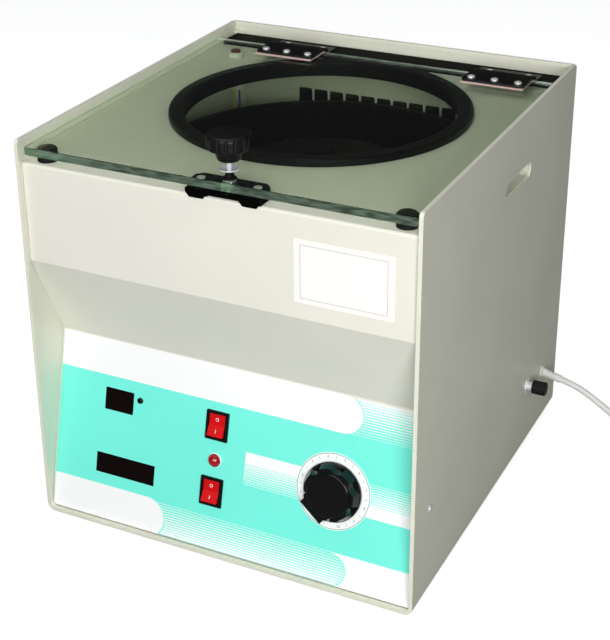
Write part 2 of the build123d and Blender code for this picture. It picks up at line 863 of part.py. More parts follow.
# Bowl and its posts
def bowl():
    wall_outer = bowl_rim_radius - bowl_rim_width
    path = FilletPolyline(
        (spindle_hole_radius, bowl_floor_z),
        (wall_outer, bowl_floor_z),
        (wall_outer, bowl_rim_z),
        (bowl_rim_radius, bowl_rim_z),
        (bowl_rim_radius, bowl_rim_z - bowl_rim_turn_down),
        radius=[bowl_corner, bowl_rim_bend, bowl_rim_bend],
    )
    section = make_face(offset(path, bowl_wall, side=Side.RIGHT))
    return Pos(*chamber, 0) * revolve(Plane.XZ * section, Axis.Z)


def post_places():
    angles = [math.radians(45 + 90 * i) for i in range(4)]
    return [(chamber[0] + post_circle * math.cos(a), chamber[1] + post_circle * math.sin(a)) for a in angles]


def bowl_posts():
    top = bowl_floor_z - bowl_wall
    return [rod(x, y, inside_floor_z, top, post_radius) for x, y in post_places()]


def spindle_boot():
    """Rubber bellows between the bowl's floor and the motor's top."""
    low = motor_top_z
    lip_z = bowl_floor_z
    inner = spindle_radius + 8
    profile = [(inner, low), (inner + 6, low), (inner + 6, low + 3)]
    folds = 2
    step = (lip_z - low - 6) / (2 * folds)
    for i in range(folds):
        base = low + 3 + 2 * i * step
        profile += [(inner + 11, base + step), (inner + 6, base + 2 * step)]
    profile += [(spindle_hole_radius - 1, lip_z), (spindle_hole_radius + 5, lip_z)]
    profile += [(spindle_hole_radius + 5, lip_z + 1.5)]
    profile += [(inner + 3, lip_z + 1.5), (inner + 3, low + 3), (inner, low + 3)]
    return turned(profile, *chamber)


# Motor on its rubber dampers
def damper_places():
    x = motor_plate_width / 2 - 22
    y = motor_plate_depth / 2 - 22
    return [(sx * x, chamber[1] + sy * y) for sx in (-1, 1) for sy in (-1, 1)]


def motor_dampers():
    top = inside_floor_z + damper_height
    waist = damper_radius - 3
    profile = [
        (0, inside_floor_z),
        (damper_radius, inside_floor_z),
        (damper_radius, inside_floor_z + 4),
        (waist, inside_floor_z + 8),
        (waist, top - 8),
        (damper_radius, top - 4),
        (damper_radius, top),
        (0, top),
    ]
    return [turned(profile, x, y) for x, y in damper_places()]


def motor_plate():
    low = inside_floor_z + damper_height
    plate = extrude(RectangleRounded(motor_plate_width, motor_plate_depth, 12), motor_plate_thickness)
    plate = Pos(*chamber, low) * plate
    stiffener = 6.0
    for sx in (-1, 1):
        x = sx * (motor_plate_width / 2 - 1)
        y = chamber[1]
        rib_low = (x - 1, y - motor_plate_depth / 2 + 14, low - stiffener)
        plate += block(rib_low, (x + 1, y + motor_plate_depth / 2 - 14, low))
    return plate


def motor_can():
    inner = motor_radius - motor_can_wall
    top = motor_can_top_z
    shelf = motor_z + motor_can_wall + 14
    seat = bearing_radius + running_gap
    profile = [
        (0, motor_z),
        (motor_radius + motor_foot_width, motor_z),
        (motor_radius + motor_foot_width, motor_z + 5),
        (motor_radius, motor_z + 8),
        (motor_radius, top),
        (inner, top),
        (inner, motor_z + 6),
        (bearing_radius + 6, motor_z + 6),
        (bearing_radius + 6, shelf),
        (seat, shelf),
        (seat, shelf - bearing_height),
        (0, shelf - bearing_height),
    ]
    can = turned(profile, *chamber)
    vent_z = motor_z + motor_vent_low + motor_vent_height / 2
    vent = Pos(motor_radius, 0, vent_z) * Box(5 * motor_can_wall, motor_vent_width, motor_vent_height)
    for i in range(motor_vents):
        can -= Pos(*chamber, 0) * Rot(0, 0, 360 / motor_vents * (i + 0.5)) * vent
    return can


def motor_end_bell():
    low = motor_can_top_z
    top = motor_top_z
    seat = bearing_radius + running_gap
    profile = [
        (spindle_radius + 3, top),
        (bearing_radius + 8, top),
        (motor_radius - 6, low + 8),
        (motor_radius, low + 4),
        (motor_radius, low),
        (motor_radius - 10, low),
        (bearing_radius + 5, top - bearing_height - 6),
        (seat, top - bearing_height - 3),
        (seat, top - 3),
        (spindle_radius + 3, top - 3),
    ]
    return turned(profile, *chamber)


def bearing(low):
    bore = spindle_radius + running_gap
    profile = [
        (bore, low),
        (bearing_radius, low),
        (bearing_radius, low + bearing_height),
        (bore, low + bearing_height),
    ]
    ring = turned(profile, *chamber)
    return chamfer(ring.edges().group_by(Axis.Z)[-1][-1:], 0.5)


def motor_bearings():
    lower = motor_z + motor_can_wall + 14 - bearing_height
    upper = motor_top_z - 3 - bearing_height
    return [bearing(lower), bearing(upper)]


def field_winding():
    low = motor_z + field_below
    top = motor_can_top_z - field_above
    profile = [
        (field_inner_radius, low),
        (field_radius, low),
        (motor_radius - motor_can_wall - fit_gap, low + field_chamfer),
        (motor_radius - motor_can_wall - fit_gap, top - field_chamfer),
        (field_radius, top),
        (field_inner_radius, top),
    ]
    return turned(profile, *chamber)


def spindle():
    low = motor_z + motor_can_wall + 14 - bearing_height + 0.5
    seat_z = rotor_z + 6
    profile = [
        (0, low),
        (spindle_radius, low),
        (spindle_radius, motor_top_z + 4),
        (spindle_top_radius + 4, motor_top_z + 6),
        (spindle_top_radius + 4, seat_z),
        (spindle_top_radius, seat_z + 34),
        (spindle_top_radius, rotor_top_z + 6),
        (0, rotor_top_z + 6),
    ]
    return turned(profile, *chamber)


def armature():
    low = motor_z + field_below + 5
    height = motor_can_top_z - field_above - 5 - low
    bore = spindle_radius
    profile = [
        (bore, low - 18),
        (18, low - 18),
        (18, low),
        (armature_radius - 6, low),
        (armature_radius, low + 8),
        (armature_radius, low + height - 8),
        (armature_radius - 6, low + height),
        (bore, low + height),
    ]
    core = turned(profile, *chamber)
    slot = Pos(armature_radius, 0, low + height / 2) * Box(3, 2.4, height - 16)
    for i in range(armature_slots):
        core -= Pos(*chamber, 0) * Rot(0, 0, 360 / armature_slots * i) * slot
    return core


def rotor_bore_profile():
    """Half section of the taper that seats on the spindle, bottom to top."""
    seat_z = rotor_z + 6
    return [
        (spindle_top_radius + 4, rotor_z),
        (spindle_top_radius + 4, seat_z),
        (spindle_top_radius, seat_z + 34),
        (spindle_top_radius, rotor_top_z),
    ]


def rotor_body():
    profile = [
        (rotor_hub_radius, rotor_z),
        (rotor_radius, rotor_z + rotor_cone_height),
        (rotor_radius, rotor_top_z - rotor_top_chamfer),
        (rotor_radius - rotor_top_chamfer, rotor_top_z),
    ]
    bore = rotor_bore_profile()
    body = turned(profile + bore[::-1], *chamber)
    depth = pocket_depth
    pocket = Pos(0, 0, -depth / 2 + 10) * Cylinder(pocket_radius, depth + 20)
    pocket = fillet(pocket.edges().sort_by(Axis.Z)[0], pocket_radius * 0.6)
    for i in range(pocket_count):
        place = Pos(*chamber, rotor_top_z) * Rot(0, 0, 360 / pocket_count * i)
        body -= place * Pos(pocket_circle, 0, 0) * Rot(0, -pocket_tilt, 0) * pocket
    return body


def rotor_nut():
    low = rotor_top_z + running_gap
    nut = Cylinder(rotor_nut_radius, rotor_nut_height, align=(Align.CENTER, Align.CENTER, Align.MIN))
    nut = fillet(nut.edges().group_by(Axis.Z)[-1], 4.0)
    for i in range(10):
        nut -= Rot(0, 0, 36 * i) * Pos(rotor_nut_radius + 1.4, 0, 12) * Cylinder(2.6, 40)
    nut -= Cylinder(spindle_top_radius, 12, align=(Align.CENTER, Align.CENTER, Align.CENTER))
    return Pos(*chamber, low) * nut


# Control panel pieces, each drawn in the panel's axes
def window(place, size):
    """Dark window with a flange behind the sheet."""
    pane = Pos(0, 0, -2.3) * Box(size[0], size[1], 5.2)
    pane = fillet(pane.edges().filter_by(Axis.Z), 0.8)
    behind = -label_thickness - front_sheet - 1.3
    pane += Pos(0, 0, behind) * Box(size[0] + 5, size[1] + 5, 2.6)
    return on_panel(*place, label_thickness) * pane


def display_module(place, size):
    """Display block that fills the room between its window and the board."""
    front = -5.4
    deep = board_setback + front
    block_shape = Box(size[0] - 4, size[1] - 4, deep, align=(Align.CENTER, Align.CENTER, Align.MAX))
    return on_panel(*place, front) * block_shape


def board_post_places():
    dx = board_size[0] / 2 - 5
    dy = board_size[1] / 2 - 5
    return [(board_at[0] + sx * dx, board_at[1] + sy * dy) for sx in (-1, 1) for sy in (-1, 1)]


def board_posts():
    length = board_setback - front_sheet
    post = Cylinder(3.0, length, align=(Align.CENTER, Align.CENTER, Align.MAX))
    return [on_panel(*place, -front_sheet) * post for place in board_post_places()]


def control_board():
    board = Box(*board_size, board_thickness, align=(Align.CENTER, Align.CENTER, Align.MAX))
    board = fillet(board.edges().filter_by(Axis.Z), 3.0)
    for dx, dy, sx, sy, sz in ((-20, -2, 26, 20, 18), (14, 4, 14, 14, 22), (28, -30, 12, 24, 10)):
        part = Box(sx, sy, sz, align=(Align.CENTER, Align.CENTER, Align.MAX))
        board += Pos(dx, dy, -board_thickness) * part
    return on_panel(*board_at, -board_setback) * board


def set_button():
    cap = Cylinder(button_radius, 15.0, align=(Align.CENTER, Align.CENTER, Align.MAX))
    cap = Pos(0, 0, label_thickness + 2.2) * cap
    cap = fillet(cap.edges().sort_by(Axis.Z)[-1], 1.0)
    collar = Cylinder(button_radius + 1.2, 1.6, align=(Align.CENTER, Align.CENTER, Align.MAX))
    return on_panel(*button_at) * (cap + Pos(0, 0, -front_sheet - fit_gap) * collar)


def button_switch():
    top = label_thickness + 2.2 - 15.0 - button_travel - 0.2
    deep = board_setback + top
    body = Box(9, 9, deep, align=(Align.CENTER, Align.CENTER, Align.MAX))
    return on_panel(*button_at, top) * body


def rocker_frame(place):
    frame = Pos(0, 0, label_thickness + 1.1) * Box(*rocker_frame_size, 2.2)
    frame = fillet(frame.edges().filter_by(Axis.Z), 1.2)
    frame = chamfer(frame.faces().sort_by(Axis.Z)[-1].edges(), 0.7)
    body = Box(*rocker_body_size, 17.0, align=(Align.CENTER, Align.CENTER, Align.MAX))
    frame += Pos(0, 0, label_thickness) * body
    cavity = Box(rocker_key_size[0] + 0.8, rocker_key_size[1] + 1.8, 12.0)
    frame -= Pos(0, 0, label_thickness - 2.6) * cavity
    pivot = Pos(0, 0, rocker_pivot_out) * Rot(0, 90, 0)
    frame -= pivot * Cylinder(rocker_pin_radius + running_gap, rocker_key_size[0] + 3.0)
    return on_panel(*place) * frame


def rocker_key(place):
    """Rocker with a shallow V top, tilted so that its lower half stands out."""
    half = rocker_key_size[1] / 2
    outline = Polyline(
        (-half, 4.6),
        (0, 2.4),
        (half, 4.6),
        (half - 0.5, 0.5),
        (6.0, -4.0),
        (-6.0, -4.0),
        (-half + 0.5, 0.5),
        close=True,
    )
    key = extrude(Plane.YZ * make_face(outline), amount=rocker_key_size[0] / 2, both=True)
    key += Rot(0, 90, 0) * Cylinder(rocker_pin_radius, rocker_key_size[0] + 2.4)
    tilt = Rot(-rocker_tilt, 0, 0)
    return on_panel(*place, rocker_pivot_out) * tilt * key


def pilot_ring():
    ring = Cylinder(lamp_ring_radius, 1.8, align=(Align.CENTER, Align.CENTER, Align.MIN))
    ring = chamfer(ring.edges().sort_by(Axis.Z)[-1], 0.6)
    body = Cylinder(lamp_body_radius, 24.0, align=(Align.CENTER, Align.CENTER, Align.MAX))
    nut_face = RegularPolygon(lamp_body_radius + 2.5, 6)
    nut = Pos(0, 0, -front_sheet - label_thickness - fit_gap) * extrude(nut_face, -3.0)
    socket = Cylinder(lamp_lens_radius - 0.4, 4.0, align=(Align.CENTER, Align.CENTER, Align.MAX))
    return on_panel(*lamp_at, label_thickness) * (ring + body + nut - Pos(0, 0, 1.8) * socket)


def pilot_lens():
    lens = Sphere(lamp_lens_radius * 1.3)
    lens &= Pos(0, 0, lamp_lens_radius * 0.9) * Box(30, 30, lamp_lens_radius * 0.9)
    stem = Cylinder(lamp_lens_radius - 0.5, 2.0, align=(Align.CENTER, Align.CENTER, Align.MAX))
    base = lamp_lens_radius * 0.45
    return on_panel(*lamp_at, label_thickness + 1.9 - base) * (lens + Pos(0, 0, base + 0.1) * stem)


def dial_plate():
    disc = Cylinder(dial_radius, dial_thickness, align=(Align.CENTER, Align.CENTER, Align.MIN))
    disc -= Cylinder(shaft_bush_radius + fit_gap, 4)
    return on_panel(*dial_at, label_thickness) * disc


def finger_outline(radius):
    """Round outline with shallow finger hollows and one flat-ended pointer lug."""
    outline = Circle(radius)
    reach = radius + knob_flute_radius - knob_flute_depth
    for i in range(knob_flutes):
        angle = pointer_angle + 360 / (knob_flutes + 1) * (i + 1)
        outline -= Rot(0, 0, angle) * Pos(reach, 0) * Circle(knob_flute_radius)
    return fillet(outline.vertices(), 1.2)


def speed_knob():
    skirt = Cylinder(knob_radius, knob_skirt, align=(Align.CENTER, Align.CENTER, Align.MIN))
    skirt = chamfer(skirt.edges().sort_by(Axis.Z)[-1], 1.2)
    low = Pos(0, 0, knob_skirt - 1) * finger_outline(knob_radius - 0.5)
    high = Pos(0, 0, knob_height - knob_crown) * finger_outline(knob_top_radius)
    grip = loft([low.faces()[0], high.faces()[0]])
    cap = Pos(0, 0, knob_height - knob_crown) * Cylinder(
        knob_top_radius - knob_flute_depth - 1, knob_crown, align=(Align.CENTER, Align.CENTER, Align.MIN)
    )
    cap = fillet(cap.edges().sort_by(Axis.Z)[-1], 0.6 * knob_crown)
    lug = Box(pointer_reach, pointer_width, pointer_height, align=(Align.MIN, Align.CENTER, Align.MIN))
    lug = chamfer(lug.faces().sort_by(Axis.Z)[-1].edges().filter_by(Axis.Y), 1.5)
    knob = skirt + grip + cap + Rot(0, 0, pointer_angle) * lug
    knob -= Cylinder(control_shaft_radius, 2 * (knob_height - 5))
    return on_panel(*dial_at, knob_seat) * knob


def regulator_bush():
    """Threaded bush that carries the regulator through the sheet, with its nut."""
    bore = control_shaft_radius + running_gap
    length = regulator_setback + label_thickness + dial_thickness
    tube = Cylinder(shaft_bush_radius, length, align=(Align.CENTER, Align.CENTER, Align.MAX))
    nut = Pos(0, 0, -length + regulator_setback - front_sheet - fit_gap) * extrude(
        RegularPolygon(9.5, 6), -4.0
    )
    whole = tube + nut - Cylinder(bore, 60)
    return on_panel(*dial_at, label_thickness + dial_thickness) * whole


def regulator_body():
    """Variable transformer: a base, a ring winding and a face plate."""
    bore = control_shaft_radius + running_gap
    face = Cylinder(regulator_radius, 4.0, align=(Align.CENTER, Align.CENTER, Align.MAX))
    base = Cylinder(regulator_radius, 5.0, align=(Align.CENTER, Align.CENTER, Align.MAX))
    base = Pos(0, 0, -regulator_length + 5.0) * base
    ring_face = make_face(
        Polyline((18, -16), (40, -16), (40, -regulator_length + 5), (18, -regulator_length + 5), close=True)
    )
    ring_face = fillet(ring_face.vertices().group_by(Axis.Y)[-1], 6.0)
    winding = revolve(Plane.XZ * ring_face, Axis.Z)
    whole = face + base + winding
    for i in range(3):
        pillar = Cylinder(2.5, regulator_length, align=(Align.CENTER, Align.CENTER, Align.MAX))
        whole += Rot(0, 0, 120 * i + 60) * Pos(regulator_radius - 2.6, 0, 0) * pillar
    whole -= Cylinder(bore, 4 * regulator_length)
    return on_panel(*dial_at, -regulator_setback) * whole


def regulator_shaft():
    """Shaft with the brush arm that sweeps the winding."""
    top = knob_seat + knob_height - 5.5
    length = top + regulator_setback + regulator_length - 2
    shaft = Cylinder(control_shaft_radius, length, align=(Align.CENTER, Align.CENTER, Align.MAX))
    arm_length = regulator_radius - 11
    arm_out = -regulator_setback - 10.5
    arm = Pos(0, 0, arm_out) * Box(arm_length, 8, 3, align=(Align.MIN, Align.CENTER, Align.CENTER))
    brush = Pos(arm_length - 3, 0, arm_out - 2.7) * Box(6, 6, 5.0)
    sweep_start = Rot(0, 0, 225)
    return on_panel(*dial_at) * (Pos(0, 0, top) * shaft + sweep_start * (arm + brush))


# Pieces in the right-hand side
def fuse_holder():
    """Flanged body through the wall, its round neck outside and its nut inside."""
    z = floor_z + fuse_z
    body = rod_x(half_width - fuse_body_length, half_width + 0.5, fuse_y, z, fuse_body_radius)
    flange = extrude(Plane.YZ * RegularPolygon(fuse_flange_radius, 6), fuse_flange)
    body += Pos(half_width, fuse_y, z) * flange
    neck_end = half_width + fuse_flange + fuse_neck_length
    body += rod_x(half_width, neck_end, fuse_y, z, fuse_neck_radius)
    nut = extrude(Plane.YZ * RegularPolygon(fuse_nut_radius, 6), fuse_nut_height)
    body += Pos(inner_half - fuse_nut_height - fit_gap, fuse_y, z) * nut
    bore_end = half_width - fuse_stem_length - 2
    return body - rod_x(bore_end, neck_end + 1, fuse_y, z, fuse_stem_radius + running_gap)


def fuse_cap():
    z = floor_z + fuse_z
    low = half_width + fuse_flange + fuse_neck_length + fit_gap
    high = low + fuse_cap_length
    cap = rod_x(low, high, fuse_y, z, fuse_cap_radius)
    cap = fillet(cap.edges().sort_by(Axis.X)[-1], 1.5)
    for i in range(fuse_cap_flutes):
        angle = 2 * math.pi * i / fuse_cap_flutes
        y = fuse_y + (fuse_cap_radius + 0.5) * math.cos(angle)
        dz = (fuse_cap_radius + 0.5) * math.sin(angle)
        cap -= rod_x(low + 2.5, high + 1, y, z + dz, 1.0)
    slot_low = (high - fuse_slot_depth, fuse_y - fuse_slot_width / 2, z - fuse_cap_radius)
    cap -= block(slot_low, (high + 1, fuse_y + fuse_slot_width / 2, z + fuse_cap_radius))
    return cap + rod_x(half_width - fuse_stem_length, low, fuse_y, z, fuse_stem_radius)


def cord_relief():
    """Strain relief: a flanged bush in the wall and a tapered sleeve that droops outside it."""
    bush = turned([
        (0, -relief_inside),
        (relief_neck_radius, -relief_inside),
        (relief_neck_radius, 0),
        (relief_flange_radius, 0),
        (relief_flange_radius, relief_flange),
        (relief_root_radius, relief_flange + 1),
        (0, relief_flange + 1),
    ])
    bush += Pos(0, 0, -wall - fit_gap) * extrude(RegularPolygon(relief_nut_radius, 6), -4.0)
    sleeve = turned([
        (0, relief_flange),
        (relief_root_radius, relief_flange),
        (relief_root_radius, relief_length / 3),
        (relief_tip_radius, relief_length),
        (0, relief_length),
    ])
    groove = Cylinder(relief_flange_radius, relief_groove) - Cylinder(cord_radius + 0.4, relief_groove)
    for i in range(relief_grooves):
        sleeve -= Pos(0, 0, relief_length / 3 + relief_groove_pitch * (i + 0.3)) * groove
    place = Pos(half_width, cord_y, floor_z + cord_z)
    return place * Rot(0, 90, 0) * bush + place * Rot(0, 90 + relief_droop, 0) * sleeve


def case_screws():
    screws = []
    for y, z in case_screw_places():
        for side_sign in (-1, 1):
            screw = domed_screw(3.6, screw_head, case_screw_shank, 8.0)
            screws.append(Pos(side_sign * half_width, y, z) * Rot(0, 90 * side_sign, 0) * screw)
    return screws


def rear_screws():
    screw = domed_screw(3.6, screw_head, case_screw_shank, 8.0)
    return [Pos(x, back_y, z) * Rot(-90, 0, 0) * screw for x, z in rear_screw_places()]


# Feet
def feet():
    profile = [
        (0, 2.5),
        (5, 2.5),
        (5, 0),
        (foot_bottom_radius - 1, 0),
        (foot_bottom_radius, 1),
        (foot_top_radius, foot_height),
        (foot_stem_radius, foot_height),
        (foot_stem_radius, inside_floor_z),
        (foot_stem_radius + 1.4, inside_floor_z),
        (foot_stem_radius - 0.8, inside_floor_z + 5),
        (0, inside_floor_z + 5),
    ]
    return [turned(profile, x, y) for x, y in foot_places()]


# Cord, coil and plug
def route_radii(points):
    """Bend radius at each corner: 0.45 of the shorter run over the tangent of half the turn."""
    radii = []
    for a, b, c in zip(points, points[1:], points[2:]):
        before = Vector(*b) - Vector(*a)
        after = Vector(*c) - Vector(*b)
        half_turn = math.radians(before.get_angle(after)) / 2
        radii.append(0.45 * min(before.length, after.length) / math.tan(half_turn))
    return radii


def coil_corners():
    """Ends of the coil's half turns: spiral in on the floor, climb, then spiral out."""
    reach = coil_mid_radius + (coil_pitch * coil_turns_a_layer + coil_climb_step) / 2
    low = cord_route[-1][2]
    high = low + coil_pitch
    halves = 2 * coil_turns_a_layer
    radii = [reach - coil_pitch * i / 2 for i in range(halves + 1)]
    radii[-1] -= coil_climb_step
    corners = [(radius, i % 2, low) for i, radius in enumerate(radii)]
    return corners + [(radius, (i + 1) % 2, high) for i, radius in enumerate(radii[::-1])]


def coil_path():
    """Tangent half and quarter arcs through the coil's corners, with straight ends."""
    end = Vector(*cord_route[-1])
    heading = (end - Vector(*cord_route[-2])).normalized()
    left = Vector(-heading.Y, heading.X, 0)
    corners = coil_corners()
    lead = cord_radius * 2
    start = end + heading * lead
    middle = start + left * corners[0][0]

    def point(corner):
        radius, odd, z = corner
        side = 1 if odd else -1
        return Vector(middle.X, middle.Y, z) + left * (side * radius)

    edges = [Line(end, start)]
    for i, (a, b) in enumerate(zip(corners, corners[1:])):
        going = heading * (-1 if a[1] else 1)
        first, last = point(a), point(b)
        if a[2] == b[2]:
            edges.append(TangentArc(first, last, tangent=going))
            continue
        reach = (last - first).length / 2
        knee = (first + last) * 0.5 + going * reach
        edges.append(TangentArc(first, knee, tangent=going))
        edges.append(TangentArc(knee, last, tangent=(last - first).normalized()))
    finish = point(corners[-1])
    going = heading * (-1 if corners[-1][1] else 1)
    edges.append(Line(finish, finish + going * plug_lead_out))
    return Wire([e.edge() if hasattr(e, "edge") else e for e in edges]), finish + going * plug_lead_out, going


def tube(path, radius):
    """Round tube along a wire."""
    return sweep(Plane(origin=path @ 0, z_dir=path % 0) * Circle(radius), path)


def cord_points():
    """Route corners, the first two in line with the drooping strain relief."""
    droop = math.radians(relief_droop)
    first = []
    for run in (relief_length, relief_length + cord_first_run):
        first.append((half_width + run * math.cos(droop), cord_y, floor_z + cord_z - run * math.sin(droop)))
    return first + cord_route


def mains_cord():
    points = cord_points()
    radii = route_radii(points)
    print("cord corners", [tuple(round(v, 2) for v in point) for point in points[:2]])
    print("cord bend radii", [round(r, 1) for r in radii])
    path = FilletPolyline(*points, radius=radii)
    cord = tube(path, cord_radius)
    section = math.pi * cord_radius**2
    print("cord length", round(path.length, 1), "volume over section", round(cord.volume / section, 1))
    return cord


def cord_coil():
    path, _, _ = coil_path()
    coil = tube(path, cord_radius)
    section = math.pi * cord_radius**2
    print("coil length", round(path.length, 1), "volume over section", round(coil.volume / section, 1))
    samples = [path @ (i / 1200) for i in range(1201)]
    step = path.length / 1200
    apart = int(math.pi * coil_mid_radius / step)
    gap = min(
        (samples[i] - samples[j]).length
        for i in range(0, 1201, 3)
        for j in range(i + apart, 1201, 2)
    )
    print("coil least gap to itself", round(gap - 2 * cord_radius, 2))
    return coil


def mains_plug():
    """Three round-pin plug lying on its side, at the coil's free end."""
    _, end, going = coil_path()
    half_thick = end.Z
    base = Plane(origin=end, x_dir=going, z_dir=(0, 0, 1))
    neck = Rot(0, 90, 0) * Cone(5.0, 8.0, 12, align=(Align.CENTER, Align.CENTER, Align.MIN))
    outline = Polyline(
        (10, -9),
        (22, -plug_body_width / 2),
        (10 + plug_body_length, -plug_body_width / 2),
        (10 + plug_body_length, plug_body_width / 2),
        (22, plug_body_width / 2),
        (10, 9),
        close=True,
    )
    face = make_face(outline)
    face = fillet(face.vertices(), 5.0)
    shell = extrude(face, half_thick, both=True)
    shell = fillet(shell.edges().group_by(Axis.Z)[-1], 2.5)
    nose = 10 + plug_body_length
    pins = Pos(nose, 0, half_thick * 0.35) * Rot(0, 90, 0) * pin(4.0, 20)
    for y in (-9.5, 9.5):
        pins += Pos(nose, y, -half_thick * 0.25) * Rot(0, 90, 0) * pin(3.0, 16)
    return base.location * (neck + shell + pins)


def pin(radius, length):
    """Round pin with a rounded tip, from just inside the plug's face."""
    shank = Pos(0, 0, -1) * Cylinder(radius, length, align=(Align.CENTER, Align.CENTER, Align.MIN))
    return fillet(shank.edges().sort_by(Axis.Z)[-1], radius * 0.45)


def group(shapes):
    """Separate solids that share one node."""
    return Compound([solid for shape in shapes for solid in shape.solids()])


def main():
    os.makedirs("parts", exist_ok=True)
    save("cabinet_wrap", cabinet_wrap())
    save("rear_panel", rear_panel())
    save("front_deck_panel", front_deck_panel())
    save("control_label", control_label())
    save("notice_plate", notice_plate())
    save("feet", group(feet()))
    save("rim_edging", rim_edging())
    save("lid_bumpers", group(lid_bumpers()))
    save("lid_rail", lid_rail())
    save("latch_keeper", latch_keeper())
    save("deck_screws", group(keeper_screws() + rail_screws()))
    save("lid_glass", lid_glass())
    save("hinge_fixed_leaves", group(hinge_fixed_leaves()))
    save("hinge_clamps", group(hinge_clamps()))
    save("hinge_gaskets", group(hinge_gaskets()))
    save("hinge_pins", group(hinge_pins()))
    save("clamp_screws", group(clamp_screws()))
    save("lid_stud", lid_stud())
    save("knob_washer", knob_washer())
    save("glass_bush", glass_bush())
    save("lid_knob", lid_knob())
    save("switch_body", switch_body())
    save("switch_plunger", switch_plunger())
    save("switch_wire_yellow", switch_wire(-1))
    save("switch_wire_blue", switch_wire(1))
    save("bowl", bowl())
    save("bowl_posts", group(bowl_posts()))
    save("spindle_boot", spindle_boot())
    save("motor_dampers", group(motor_dampers()))
    save("motor_plate", motor_plate())
    save("motor_can", motor_can())
    save("motor_end_bell", motor_end_bell())
    save("motor_bearings", group(motor_bearings()))
    save("field_winding", field_winding())
    save("spindle", spindle())
    save("armature", armature())
    save("rotor_body", rotor_body())
    save("hand_cups", group(hand_cups()))
    save("rotor_nut", rotor_nut())
    save("panel_windows", group([
        window(timer_window_at, timer_window_size),
        window(display_at, display_size),
    ]))
    save("board_modules", group([
        display_module(timer_window_at, timer_window_size),
        display_module(display_at, display_size),
        button_switch(),
    ]))
    save("board_posts", group(board_posts()))
    save("control_board", control_board())
    save("set_button", set_button())
    save("rocker_frames", group([rocker_frame(place) for place in rocker_at]))
    save("upper_rocker", rocker_key(rocker_at[0]))
    save("lower_rocker", rocker_key(rocker_at[1]))
    save("pilot_ring", pilot_ring())
    save("pilot_lens", pilot_lens())
    save("dial_plate", dial_plate())
    save("speed_knob", speed_knob())
    save("regulator_body", group([regulator_bush(), regulator_body()]))
    save("regulator_shaft", regulator_shaft())
    save("fuse_holder", fuse_holder())
    save("fuse_cap", fuse_cap())
    save("cord_relief", cord_relief())
    save("case_screws", group(case_screws() + rear_screws()))
    save("mains_cord", mains_cord())
    save("cord_coil", cord_coil())
    save("mains_plug", mains_plug())


main()
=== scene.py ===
"""Looks of a bench centrifuge with a glass lid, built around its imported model."""
import logging
import math
from dataclasses import dataclass, field
from enum import Enum
from typing import Callable, ClassVar, Iterable, Optional, Sequence

import bmesh
import bpy
from mathutils import Matrix, Vector


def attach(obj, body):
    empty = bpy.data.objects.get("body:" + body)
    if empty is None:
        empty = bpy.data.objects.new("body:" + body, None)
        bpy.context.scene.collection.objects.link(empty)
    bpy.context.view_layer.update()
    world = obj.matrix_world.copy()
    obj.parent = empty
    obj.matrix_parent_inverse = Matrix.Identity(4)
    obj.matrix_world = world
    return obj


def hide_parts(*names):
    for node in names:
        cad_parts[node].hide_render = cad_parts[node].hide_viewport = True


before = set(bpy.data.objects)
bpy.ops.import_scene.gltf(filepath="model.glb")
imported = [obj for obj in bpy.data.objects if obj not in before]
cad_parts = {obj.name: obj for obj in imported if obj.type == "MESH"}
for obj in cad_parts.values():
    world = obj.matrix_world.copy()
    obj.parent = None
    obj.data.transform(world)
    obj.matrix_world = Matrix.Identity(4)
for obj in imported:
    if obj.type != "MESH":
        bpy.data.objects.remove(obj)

LOG = logging.getLogger("centrifuge")
MM = 0.001
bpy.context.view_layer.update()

Colour = tuple[float, float, float, float]
Point = tuple[float, float]


def tone(red: float, green: float, blue: float) -> Colour:
    """Linear colour of a tone given from 0 to 255.

    Args:
        red: red share of the tone.
        green: green share of the tone.
        blue: blue share of the tone.

    Returns:
        The colour as four linear numbers.
    """
    shares = [value / 255 for value in (red, green, blue)]
    linear = [s / 12.92 if s <= 0.04045 else ((s + 0.055) / 1.055) ** 2.4 for s in shares]
    return (linear[0], linear[1], linear[2], 1.0)


class Grain(Enum):
    """How the fine relief of a finish runs."""

    POWDER = "powder"
    SMOOTH = "smooth"
    BRUSHED = "brushed"
    TURNED = "turned"


